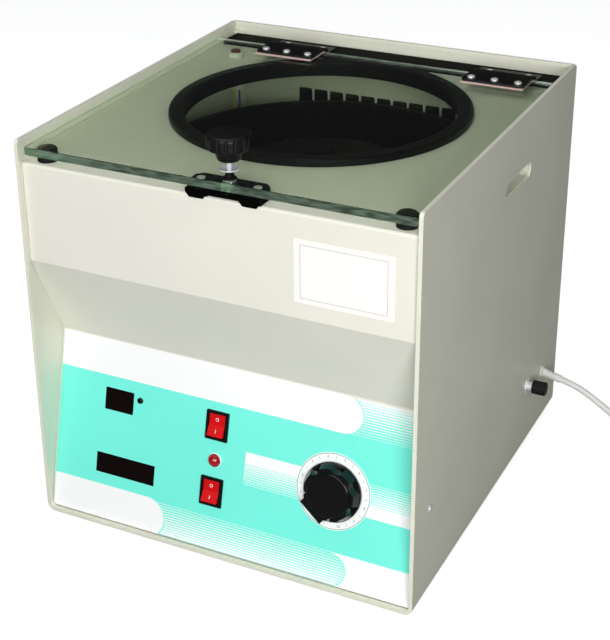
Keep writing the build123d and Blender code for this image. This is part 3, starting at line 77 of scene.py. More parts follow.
class NodeDesk:
    """Places and links the nodes of one tree."""

    def __init__(self, tree: bpy.types.NodeTree) -> None:
        """Take a tree to work on.

        Args:
            tree: the node tree of a material, world or group.
        """
        self.tree = tree
        self.column = 0

    def add(self, kind: str, **settings: object) -> bpy.types.Node:
        """Add one node.

        Args:
            kind: the node's type name.
            settings: attributes to set on it.

        Returns:
            The new node.
        """
        node = self.tree.nodes.new(kind)
        node.location = (self.column * 190, 0)
        self.column += 1
        for name, value in settings.items():
            setattr(node, name, value)
        return node

    def link(self, source: bpy.types.NodeSocket, target: bpy.types.NodeSocket) -> None:
        """Join an output to an input."""
        self.tree.links.new(source, target)

    def feed(self, node: bpy.types.Node, name: str, value: object) -> None:
        """Set an input to a number, or link it to a socket.

        Args:
            node: the node that has the input.
            name: the input's name.
            value: a number, a colour or an output socket.
        """
        if isinstance(value, bpy.types.NodeSocket):
            self.link(value, node.inputs[name])
        else:
            node.inputs[name].default_value = value

    def math(self, operation: str, *values: object) -> bpy.types.NodeSocket:
        """Arithmetic on numbers or sockets.

        Args:
            operation: the Math node's operation.
            values: its inputs in order.

        Returns:
            The result's socket.
        """
        node = self.add("ShaderNodeMath", operation=operation)
        for slot, value in zip(node.inputs, values):
            if isinstance(value, bpy.types.NodeSocket):
                self.link(value, slot)
            else:
                slot.default_value = value
        return node.outputs[0]

    def remap(self, value: object, low: float, high: float, to_low: float, to_high: float) -> bpy.types.NodeSocket:
        """Clamped change of range.

        Args:
            value: the socket to change.
            low: start of its range.
            high: end of its range.
            to_low: result at the start.
            to_high: result at the end.

        Returns:
            The result's socket.
        """
        node = self.add("ShaderNodeMapRange", clamp=True)
        self.link(value, node.inputs["Value"])
        for name, number in (("From Min", low), ("From Max", high), ("To Min", to_low), ("To Max", to_high)):
            node.inputs[name].default_value = number
        return node.outputs["Result"]

    def mix(self, share: object, first: object, second: object) -> bpy.types.NodeSocket:
        """Blend of two colours.

        Args:
            share: how much of the second, as a number or a socket.
            first: colour or socket at 0.
            second: colour or socket at 1.

        Returns:
            The blend's socket.
        """
        node = self.add("ShaderNodeMix", data_type="RGBA", clamp_factor=True)
        for index, value in ((0, share), (6, first), (7, second)):
            if isinstance(value, bpy.types.NodeSocket):
                self.link(value, node.inputs[index])
            else:
                node.inputs[index].default_value = value
        return node.outputs[2]


class Effects:
    """Node groups that several finishes share, each built once."""

    _made: ClassVar[dict[str, bpy.types.NodeTree]] = {}

    @classmethod
    def _start(cls, name: str, inputs: Sequence[tuple[str, float]], outputs: Sequence[str]) -> tuple[
            NodeDesk, bpy.types.Node, bpy.types.Node]:
        """Open an empty group with float sockets.

        Args:
            name: the group's name.
            inputs: names and standing values of its inputs.
            outputs: names of its outputs.

        Returns:
            A desk for the group, its input node and its output node.
        """
        tree = bpy.data.node_groups.new(name, "ShaderNodeTree")
        for label, value in inputs:
            socket = tree.interface.new_socket(label, in_out="INPUT", socket_type="NodeSocketFloat")
            socket.default_value = value
        for label in outputs:
            tree.interface.new_socket(label, in_out="OUTPUT", socket_type="NodeSocketFloat")
        desk = NodeDesk(tree)
        entry = desk.add("NodeGroupInput")
        leave = desk.add("NodeGroupOutput")
        return desk, entry, leave

    @classmethod
    def surface_grain(cls) -> bpy.types.NodeTree:
        """Fine relief with a slow change of tone.

        Returns:
            A group with the inputs Scale, Stretch X, Stretch Z and Patch, and the outputs Height and Shade.
        """
        if "grain" not in cls._made:
            inputs = (("Scale", 400.0), ("Stretch X", 1.0), ("Stretch Z", 1.0), ("Patch", 8.0))
            desk, entry, leave = cls._start("surface_grain", inputs, ("Height", "Shade"))
            place = desk.add("ShaderNodeTexCoord").outputs["Object"]
            stretch = desk.add("ShaderNodeCombineXYZ")
            desk.link(entry.outputs["Stretch X"], stretch.inputs["X"])
            stretch.inputs["Y"].default_value = 1.0
            desk.link(entry.outputs["Stretch Z"], stretch.inputs["Z"])
            stretched = desk.add("ShaderNodeVectorMath", operation="MULTIPLY")
            desk.link(place, stretched.inputs[0])
            desk.link(stretch.outputs[0], stretched.inputs[1])
            fine = desk.add("ShaderNodeTexNoise")
            desk.link(stretched.outputs[0], fine.inputs["Vector"])
            desk.link(entry.outputs["Scale"], fine.inputs["Scale"])
            fine.inputs["Detail"].default_value = 3.0
            broad = desk.add("ShaderNodeTexNoise")
            desk.link(place, broad.inputs["Vector"])
            desk.link(entry.outputs["Patch"], broad.inputs["Scale"])
            broad.inputs["Detail"].default_value = 4.0
            blended = desk.math("ADD", desk.math("MULTIPLY", fine.outputs["Fac"], 0.35),
                                desk.math("MULTIPLY", broad.outputs["Fac"], 0.65))
            desk.link(fine.outputs["Fac"], leave.inputs["Height"])
            desk.link(blended, leave.inputs["Shade"])
            cls._made["grain"] = desk.tree
        return cls._made["grain"]

    @classmethod
    def edge_wear(cls) -> bpy.types.NodeTree:
        """Mask of rubbed edges, broken up by noise.

        Returns:
            A group with the inputs Width and Break Up, and the output Mask.
        """
        if "wear" not in cls._made:
            desk, entry, leave = cls._start("edge_wear", (("Width", 0.0012), ("Break Up", 60.0)), ("Mask",))
            rounded = desk.add("ShaderNodeBevel", samples=4)
            desk.link(entry.outputs["Width"], rounded.inputs["Radius"])
            plain = desk.add("ShaderNodeNewGeometry")
            agree = desk.add("ShaderNodeVectorMath", operation="DOT_PRODUCT")
            desk.link(rounded.outputs["Normal"], agree.inputs[0])
            desk.link(plain.outputs["Normal"], agree.inputs[1])
            edge = desk.remap(agree.outputs["Value"], 0.985, 0.80, 0.0, 1.0)
            place = desk.add("ShaderNodeTexCoord").outputs["Object"]
            broken = desk.add("ShaderNodeTexNoise")
            desk.link(place, broken.inputs["Vector"])
            desk.link(entry.outputs["Break Up"], broken.inputs["Scale"])
            broken.inputs["Detail"].default_value = 5.0
            mask = desk.math("MULTIPLY", edge, desk.remap(broken.outputs["Fac"], 0.42, 0.62, 0.0, 1.0))
            desk.link(mask, leave.inputs["Mask"])
            cls._made["wear"] = desk.tree
        return cls._made["wear"]

    @classmethod
    def settled_dust(cls) -> bpy.types.NodeTree:
        """Mask of dust on faces that look up.

        Returns:
            A group with the inputs Amount and Scale, and the output Mask.
        """
        if "dust" not in cls._made:
            desk, entry, leave = cls._start("settled_dust", (("Amount", 0.2), ("Scale", 35.0)), ("Mask",))
            coords = desk.add("ShaderNodeTexCoord")
            split = desk.add("ShaderNodeSeparateXYZ")
            desk.link(coords.outputs["Normal"], split.inputs[0])
            up = desk.remap(split.outputs["Z"], 0.35, 0.95, 0.0, 1.0)
            cloud = desk.add("ShaderNodeTexNoise")
            desk.link(coords.outputs["Object"], cloud.inputs["Vector"])
            desk.link(entry.outputs["Scale"], cloud.inputs["Scale"])
            cloud.inputs["Detail"].default_value = 6.0
            patchy = desk.remap(cloud.outputs["Fac"], 0.35, 0.75, 0.15, 1.0)
            mask = desk.math("MULTIPLY", desk.math("MULTIPLY", up, patchy), entry.outputs["Amount"])
            desk.link(mask, leave.inputs["Mask"])
            cls._made["dust"] = desk.tree
        return cls._made["dust"]

    @classmethod
    def hand_smudge(cls) -> bpy.types.NodeTree:
        """Roughness that hands and wiping leave on a glossy face.

        Returns:
            A group with the inputs Base and Spread, and the output Roughness.
        """
        if "smudge" not in cls._made:
            desk, entry, leave = cls._start("hand_smudge", (("Base", 0.2), ("Spread", 0.1)), ("Roughness",))
            place = desk.add("ShaderNodeTexCoord").outputs["Object"]
            waves = desk.add("ShaderNodeTexNoise")
            desk.link(place, waves.inputs["Vector"])
            waves.inputs["Scale"].default_value = 24.0
            waves.inputs["Detail"].default_value = 7.0
            waves.inputs["Distortion"].default_value = 0.6
            lift = desk.math("MULTIPLY", desk.remap(waves.outputs["Fac"], 0.4, 0.7, 0.0, 1.0),
                             entry.outputs["Spread"])
            desk.link(desk.math("ADD", entry.outputs["Base"], lift), leave.inputs["Roughness"])
            cls._made["smudge"] = desk.tree
        return cls._made["smudge"]

    @staticmethod
    def place(desk: NodeDesk, tree: bpy.types.NodeTree, **values: float) -> bpy.types.Node:
        """Put a group into a material with its own values.

        Args:
            desk: the material's desk.
            tree: the group's tree.
            values: inputs, with underscores for spaces.

        Returns:
            The group's node.
        """
        node = desk.add("ShaderNodeGroup", node_tree=tree)
        for name, value in values.items():
            node.inputs[name.replace("_", " ")].default_value = value
        return node


@dataclass(frozen=True)
class Finish:
    """A surface finish that dresses pieces."""

    name: str
    colour: Colour
    roughness: float = 0.5
    grain: Grain = Grain.SMOOTH
    grain_scale: float = 500.0
    relief: float = 0.02
    variation: float = 0.06
    dust: float = 0.0
    dust_colour: Colour = (0.42, 0.40, 0.36, 1.0)
    wear: float = 0.0
    wear_colour: Colour = (0.35, 0.35, 0.33, 1.0)
    smudge: float = 0.0
    metallic: float = 0.0
    coat: float = 0.0
    specular: float = 0.5
    glow: float = 0.0

    def material(self) -> bpy.types.Material:
        """Build the material, or find it if it is there.

        Returns:
            The finished material.
        """
        found = bpy.data.materials.get(f"{self.name}_finish")
        if found is not None:
            return found
        made = bpy.data.materials.new(f"{self.name}_finish")
        made.use_nodes = True
        desk = NodeDesk(made.node_tree)
        shader = made.node_tree.nodes["Principled BSDF"]
        self._set_constants(shader)
        grain = self._grain(desk)
        self._relief(desk, shader, grain.outputs["Height"])
        desk.link(self._colour(desk, grain.outputs["Shade"]), shader.inputs["Base Color"])
        desk.link(self._roughness(desk, grain.outputs["Shade"]), shader.inputs["Roughness"])
        return made

    def _set_constants(self, shader: bpy.types.Node) -> None:
        """Put the numbers that are the same all over on the shader's sockets."""
        shader.inputs["Metallic"].default_value = self.metallic
        shader.inputs["Coat Weight"].default_value = self.coat
        shader.inputs["Coat Roughness"].default_value = 0.12
        shader.inputs["Specular IOR Level"].default_value = self.specular
        if self.glow:
            shader.inputs["Emission Color"].default_value = self.colour
            shader.inputs["Emission Strength"].default_value = self.glow

    def _grain(self, desk: NodeDesk) -> bpy.types.Node:
        """Place the shared grain with this finish's values."""
        stretch = {Grain.BRUSHED: (0.04, 1.0), Grain.TURNED: (1.0, 0.05)}.get(self.grain, (1.0, 1.0))
        return Effects.place(desk, Effects.surface_grain(), Scale=self.grain_scale, Stretch_X=stretch[0],
                             Stretch_Z=stretch[1], Patch=9.0)

    def _relief(self, desk: NodeDesk, shader: bpy.types.Node, height: bpy.types.NodeSocket) -> None:
        """Turn the grain's height into a normal."""
        bump = desk.add("ShaderNodeBump")
        bump.inputs["Strength"].default_value = 0.9 if self.grain is Grain.POWDER else 0.5
        bump.inputs["Distance"].default_value = self.relief * MM
        desk.link(height, bump.inputs["Height"])
        desk.link(bump.outputs["Normal"], shader.inputs["Normal"])

    def _colour(self, desk: NodeDesk, shade: bpy.types.NodeSocket) -> bpy.types.NodeSocket:
        """Colour with its slow variation, dust and rubbed edges."""
        dark = tuple(channel * (1 - self.variation) for channel in self.colour[:3]) + (1.0,)
        light = tuple(min(1.0, channel * (1 + self.variation)) for channel in self.colour[:3]) + (1.0,)
        result = desk.mix(desk.remap(shade, 0.35, 0.65, 0.0, 1.0), dark, light)
        if self.dust:
            mask = Effects.place(desk, Effects.settled_dust(), Amount=self.dust).outputs["Mask"]
            result = desk.mix(mask, result, self.dust_colour)
        if self.wear:
            mask = Effects.place(desk, Effects.edge_wear()).outputs["Mask"]
            result = desk.mix(desk.math("MULTIPLY", mask, self.wear), result, self.wear_colour)
        return result

    def _roughness(self, desk: NodeDesk, shade: bpy.types.NodeSocket) -> bpy.types.NodeSocket:
        """Roughness that follows the grain, or smudges on a glossy face."""
        if self.smudge:
            return Effects.place(desk, Effects.hand_smudge(), Base=self.roughness,
                                 Spread=self.smudge).outputs["Roughness"]
        return desk.remap(shade, 0.3, 0.7, self.roughness * 0.88, min(1.0, self.roughness * 1.12))


@dataclass(frozen=True)
class GlassFinish:
    """Clear float glass whose cut edges look dark green, with a painted glow of streaked light on those edges."""

    name: str
    face_colour: Colour
    edge_colour: Colour
    shadow_colour: Colour
    # Painted light: dark and light tones of the glow given off by the cut edges.
    edge_dark: Colour
    edge_light: Colour

    def material(self) -> bpy.types.Material:
        """Build the material.

        Returns:
            Glass that lets light through to what lies under it.
        """
        found = bpy.data.materials.get(f"{self.name}_finish")
        if found is not None:
            return found
        made = bpy.data.materials.new(f"{self.name}_finish")
        made.use_nodes = True
        desk = NodeDesk(made.node_tree)
        shader = made.node_tree.nodes["Principled BSDF"]
        shader.inputs["Transmission Weight"].default_value = 1.0
        shader.inputs["IOR"].default_value = 1.5
        coords = desk.add("ShaderNodeTexCoord")
        split = desk.add("ShaderNodeSeparateXYZ")
        desk.link(coords.outputs["Normal"], split.inputs[0])
        flat = desk.remap(desk.math("ABSOLUTE", split.outputs["Z"]), 0.5, 0.95, 0.0, 1.0)
        desk.link(desk.mix(flat, self.edge_colour, self.face_colour), shader.inputs["Base Color"])
        smudge = Effects.place(desk, Effects.hand_smudge(), Base=0.0, Spread=0.035)
        edge_rough = desk.remap(flat, 0.0, 1.0, 0.28, 0.0)
        desk.link(desk.math("ADD", edge_rough, smudge.outputs["Roughness"]), shader.inputs["Roughness"])
        # Painted light: only the cut edges give off a streaked grey-green glow, in place of the light the glass
        # carries to them.
        spread = desk.add("ShaderNodeMapping")
        spread.inputs["Scale"].default_value = (70.0, 240.0, 420.0)
        desk.link(coords.outputs["Object"], spread.inputs["Vector"])
        edge_glow_noise = desk.add("ShaderNodeTexNoise")
        edge_glow_noise.inputs["Scale"].default_value = 1.0
        edge_glow_noise.inputs["Detail"].default_value = 3.0
        desk.link(spread.outputs["Vector"], edge_glow_noise.inputs["Vector"])
        painted_edge_glow = desk.mix(desk.remap(edge_glow_noise.outputs[0], 0.36, 0.66, 0.0, 1.0), self.edge_dark, self.edge_light)
        desk.link(desk.mix(flat, painted_edge_glow, (0.0, 0.0, 0.0, 1.0)), shader.inputs["Emission Color"])
        shader.inputs["Emission Strength"].default_value = 1.0
        clear = desk.add("ShaderNodeBsdfTransparent")
        clear.inputs["Color"].default_value = self.shadow_colour
        ray = desk.add("ShaderNodeLightPath")
        either = desk.add("ShaderNodeMixShader")
        desk.link(ray.outputs["Is Shadow Ray"], either.inputs[0])
        desk.link(shader.outputs[0], either.inputs[1])
        desk.link(clear.outputs[0], either.inputs[2])
        desk.link(either.outputs[0], made.node_tree.nodes["Material Output"].inputs["Surface"])
        return made


CASE_PAINT = Finish("case_paint_cream", tone(224, 224, 207), 0.42, Grain.POWDER, 900.0, 0.05, 0.03,
                    dust=0.10, wear=0.25, wear_colour=tone(150, 148, 138))
DECK_PAINT = Finish("deck_paint_cream", tone(228, 226, 214), 0.40, Grain.POWDER, 900.0, 0.05, 0.025,
                    dust=0.12, wear=0.15, wear_colour=tone(170, 168, 158))
LABEL_FILM = Finish("label_film_aqua", tone(116, 240, 221), 0.36, Grain.SMOOTH, 700.0, 0.015, 0.03, smudge=0.10)
WHITE_INK = Finish("white_ink", tone(246, 247, 247), 0.38, Grain.SMOOTH, 700.0, 0.01, 0.012, smudge=0.08)
DIAL_INK = Finish("dial_ink_grey", tone(120, 150, 142), 0.5, Grain.SMOOTH, 900.0, 0.01, 0.05)
PLATE_METAL = Finish("plate_print_white", tone(244, 244, 240), 0.34, Grain.BRUSHED, 1400.0, 0.01, 0.02, smudge=0.08)
PLATE_INK = Finish("plate_ink_pale", tone(206, 190, 184), 0.5, Grain.SMOOTH, 900.0, 0.01, 0.06)
RING_RUBBER = Finish("edging_rubber", tone(7, 8, 7), 0.40, Grain.SMOOTH, 300.0, 0.06, 0.15, specular=0.15)
SOFT_RUBBER = Finish("moulded_rubber", tone(14, 14, 14), 0.62, Grain.POWDER, 600.0, 0.08, 0.15, dust=0.02,
                     specular=0.2)
# Painted shade: black for the sheet that darkens the vent slots, where the inside of the case is in shade.
VENT_SHADE_BLACK = Finish("painted_vent_shade_black", tone(5, 5, 5), 0.7, Grain.POWDER, 900.0, 0.05, 0.15, specular=0.02)
GASKET_PINK = Finish("gasket_rubber_pink", tone(205, 176, 168), 0.7, Grain.POWDER, 700.0, 0.06, 0.08)
RAIL_PAINT = Finish("rail_paint_black", tone(4, 4, 4), 0.55, Grain.POWDER, 900.0, 0.05, 0.15, specular=0.03)
HINGE_PAINT = Finish("hinge_paint_black", tone(12, 12, 13), 0.36, Grain.BRUSHED, 900.0, 0.03, 0.12, wear=0.3,
                     wear_colour=tone(96, 96, 94), specular=0.35)
HINGE_STEEL = Finish("hinge_steel", tone(120, 122, 120), 0.34, Grain.BRUSHED, 900.0, 0.02, 0.08, metallic=1.0)
BRIGHT_STEEL = Finish("bright_steel", tone(226, 226, 224), 0.30, Grain.TURNED, 1200.0, 0.01, 0.06, metallic=0.45)
NICKEL = Finish("nickel_plate", tone(240, 241, 243), 0.26, Grain.TURNED, 900.0, 0.006, 0.03, metallic=0.35)
CHROME = Finish("chrome_plate", tone(225, 226, 228), 0.08, Grain.SMOOTH, 300.0, 0.004, 0.03, smudge=0.06,
                metallic=1.0)
MATT_BLACK = Finish("matt_black_plastic", tone(12, 12, 13), 0.42, Grain.POWDER, 1100.0, 0.04, 0.12, dust=0.02,
                    specular=0.3)
GLOSS_BLACK = Finish("gloss_black_plastic", tone(6, 6, 7), 0.14, Grain.SMOOTH, 300.0, 0.01, 0.1, smudge=0.04,
                     coat=0.15, specular=0.3)
SWITCH_WHITE = Finish("switch_ceramic_white", tone(232, 230, 220), 0.3, Grain.SMOOTH, 500.0, 0.01, 0.04)
PLUNGER_BROWN = Finish("plunger_brown", tone(96, 44, 30), 0.3, Grain.SMOOTH, 500.0, 0.01, 0.1)
WIRE_YELLOW = Finish("wire_yellow", tone(224, 190, 50), 0.42, Grain.SMOOTH, 500.0, 0.01, 0.06)
WIRE_BLUE = Finish("wire_blue", tone(50, 80, 190), 0.42, Grain.SMOOTH, 500.0, 0.01, 0.08)
BOWL_ENAMEL = Finish("bowl_enamel_black", tone(3, 3, 3), 0.45, Grain.POWDER, 700.0, 0.04, 0.2, specular=0.06)
INNER_STEEL = Finish("inner_steel", tone(168, 170, 170), 0.36, Grain.BRUSHED, 900.0, 0.02, 0.08, metallic=1.0)
MOTOR_PAINT = Finish("motor_paint_grey", tone(72, 80, 86), 0.5, Grain.POWDER, 500.0, 0.08, 0.1, dust=0.15)
CAST_ALLOY = Finish("cast_alloy", tone(176, 178, 178), 0.5, Grain.POWDER, 320.0, 0.12, 0.08, metallic=1.0)
COPPER_WIRE = Finish("copper_winding", tone(186, 104, 58), 0.36, Grain.TURNED, 1500.0, 0.12, 0.12, metallic=1.0)
ROTOR_ALLOY = Finish("rotor_anodised_black", tone(8, 8, 9), 0.42, Grain.TURNED, 900.0, 0.02, 0.15, specular=0.12)
WINDOW_DARK = Finish("window_dark_red", tone(12, 3, 4), 0.12, Grain.SMOOTH, 300.0, 0.004, 0.1, smudge=0.06,
                     coat=0.12, specular=0.1)
BOARD_GREEN = Finish("board_green", tone(38, 96, 58), 0.4, Grain.SMOOTH, 400.0, 0.02, 0.12)
ROCKER_RED = Finish("rocker_red", tone(200, 6, 12), 0.30, Grain.SMOOTH, 300.0, 0.006, 0.05, smudge=0.05, specular=0.25,
                    glow=0.04)
LAMP_RED = Finish("lamp_red", tone(156, 6, 22), 0.08, Grain.SMOOTH, 300.0, 0.004, 0.08, coat=0.6, glow=0.05)
DIAL_WHITE = Finish("dial_white", tone(244, 247, 245), 0.34, Grain.SMOOTH, 700.0, 0.01, 0.015, smudge=0.06)
CORD_WHITE = Finish("cord_white", tone(232, 232, 228), 0.46, Grain.SMOOTH, 400.0, 0.02, 0.03)
# The last two tones are the painted glow of the cut edges, dark and light.
LID_GLASS = GlassFinish("lid_glass_green", tone(238, 244, 235), tone(150, 176, 152), tone(224, 232, 219),
                        tone(42, 58, 46), tone(98, 116, 100))


class Bench:
    """Turns meshes into named pieces of the model."""

    @staticmethod
    def dress(node: str, finish: Finish | GlassFinish) -> None:
        """Give a carried-over node its finish.

        Args:
            node: the node's name.
            finish: what its surface gets.
        """
        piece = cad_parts[node]
        piece.data.materials.clear()
        piece.data.materials.append(finish.material())
        LOG.info("dressed %s with %s", node, finish.name)

    @staticmethod
    def piece(name: str, mesh: bpy.types.Mesh, body: str, slot: str, finish: Finish, smooth: bool = False) -> (
            bpy.types.Object):
        """Add a new piece that rides on a body.

        Args:
            name: the piece's name.
            mesh: its mesh in the row frame, in metres.
            body: the body it rides on.
            slot: the record's material slot; not used.
            finish: its finish.
            smooth: whether its faces are shaded smooth.

        Returns:
            The new object.
        """
        thing = bpy.data.objects.new(name, mesh)
        bpy.context.scene.collection.objects.link(thing)
        mesh.materials.append(finish.material())
        if smooth:
            mesh.polygons.foreach_set("use_smooth", [True] * len(mesh.polygons))
        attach(thing, body)
        LOG.info("added %s on %s", name, body)
        return thing


@dataclass
class PanelAxes:
    """Axes of the sloping control panel: across, up the slope and out of it, in millimetres."""

    front_y: float = -218.0
    low_z: float = 10.2
    run: float = 47.5
    rise: float = 193.8

    def matrix(self) -> Matrix:
        """Matrix from panel millimetres to the row frame in metres."""
        length = math.hypot(self.run, self.rise)
        up = Vector((0, self.run / length, self.rise / length))
        out = Vector((0, -self.rise / length, self.run / length))
        turn = Matrix((Vector((1, 0, 0)), up, out)).transposed().to_4x4()
        shift = Matrix.Translation(Vector((0, self.front_y, self.low_z)) * MM)
        return shift @ turn @ Matrix.Scale(MM, 4)


PANEL = PanelAxes()


def film(name: str, outlines: Iterable[Sequence[Point]], low: float, high: float, axes: Matrix) -> bpy.types.Mesh:
    """Thin flat shapes, each a closed outline with a little thickness.

    Args:
        name: the mesh's name.
        outlines: closed outlines across and up, counter-clockwise.
        low: height of the underside, out of the surface.
        high: height of the face.
        axes: matrix from the outlines' axes to the row frame.

    Returns:
        The mesh.
    """
    mesh = bpy.data.meshes.new(name)
    net = bmesh.new()
    for outline in outlines:
        under = [net.verts.new(axes @ Vector((x, y, low))) for x, y in outline]
        over = [net.verts.new(axes @ Vector((x, y, high))) for x, y in outline]
        net.faces.new(over)
        net.faces.new(under[::-1])
        count = len(outline)
        for i in range(count):
            j = (i + 1) % count
            net.faces.new((under[i], under[j], over[j], over[i]))
    bmesh.ops.recalc_face_normals(net, faces=net.faces)
    net.to_mesh(mesh)
    net.free()
    return mesh


def arc(centre: Point, radius: float, start: float, end: float, steps: int = 24) -> list[Point]:
    """Points on a circle.

    Args:
        centre: the circle's centre.
        radius: its radius.
        start: first angle in degrees.
        end: last angle in degrees.
        steps: number of chords.

    Returns:
        The points, ends included.
    """
    angles = [math.radians(start + (end - start) * i / steps) for i in range(steps + 1)]
    return [(centre[0] + radius * math.cos(a), centre[1] + radius * math.sin(a)) for a in angles]


def annulus(centre: Point, inner: float, outer: float, steps: int = 64) -> list[list[Point]]:
    """A ring as two half outlines, because an outline has no hole."""
    halves = []
    for start in (0.0, 180.0):
        halves.append(arc(centre, outer, start, start + 180, steps // 2)
                      + arc(centre, inner, start + 180, start, steps // 2))
    return halves


@dataclass
class Cabinet:
    """Sheet-metal case, front sheet, rear panel, feet and their screws."""

    plate_centre: Point = (134.0, 350.0)
    plate_size: Point = (98.0, 63.0)
    plate_front_y: float = -218.6
    border_inset: Point = (6.0, 4.6)
    border_line: float = 0.7
    ink: float = 0.05
    screen_left: float = -125.5
    # Extent of the black sheet of painted shade behind the vent slots, in millimetres.
    screen_right: float = 137.0
    screen_low: float = 309.5
    screen_high: float = 354.5
    screen_y: float = 222.7

    def build(self) -> None:
        """Dress the case, and add the notice plate's border and the black sheet of painted shade behind the vent
        slots.
        """
        for node in ("cabinet_wrap", "rear_panel", "hand_cups"):
            Bench.dress(node, CASE_PAINT)
        Bench.dress("front_deck_panel", DECK_PAINT)
        Bench.dress("feet", SOFT_RUBBER)
        Bench.dress("case_screws", BRIGHT_STEEL)
        Bench.dress("notice_plate", PLATE_METAL)
        Bench.piece("notice_border", self._border(), "cabinet", "plate_metal", PLATE_INK)
        # Painted shade: a black sheet makes the vent slots look dark.
        Bench.piece("vent_shade_sheet", self._screen(), "cabinet", "rail_black", VENT_SHADE_BLACK)

    def _screen(self) -> bpy.types.Mesh:
        """Thin black sheet of painted shade inside the thickness of the rear panel, which darkens its slots and shows
        only there.
        """
        outline = [(self.screen_left, self.screen_low), (self.screen_right, self.screen_low),
                   (self.screen_right, self.screen_high), (self.screen_left, self.screen_high)]
        axes = Matrix.Translation(Vector((0.0, self.screen_y, 0.0)) * MM)
        axes = axes @ Matrix.Rotation(math.radians(90), 4, "X") @ Matrix.Scale(MM, 4)
        return film("vent_shade_sheet", [outline], 0.0, 0.25, axes)

    def _border(self) -> bpy.types.Mesh:
        """Thin printed frame on the bare notice plate."""
        half_x = self.plate_size[0] / 2 - self.border_inset[0]
        half_z = self.plate_size[1] / 2 - self.border_inset[1]
        line = self.border_line
        bars = []
        for low, high in (((-half_x, half_z - line), (half_x, half_z)), ((-half_x, -half_z), (half_x, -half_z + line)),
                          ((-half_x, -half_z + line), (-half_x + line, half_z - line)),
                          ((half_x - line, -half_z + line), (half_x, half_z - line))):
            bars.append([(low[0], low[1]), (high[0], low[1]), (high[0], high[1]), (low[0], high[1])])
        axes = Matrix.Translation(Vector((self.plate_centre[0], self.plate_front_y, self.plate_centre[1])) * MM)
        axes = axes @ Matrix.Rotation(math.radians(90), 4, "X") @ Matrix.Scale(MM, 4)
        return film("notice_border", bars, -0.02, self.ink, axes)


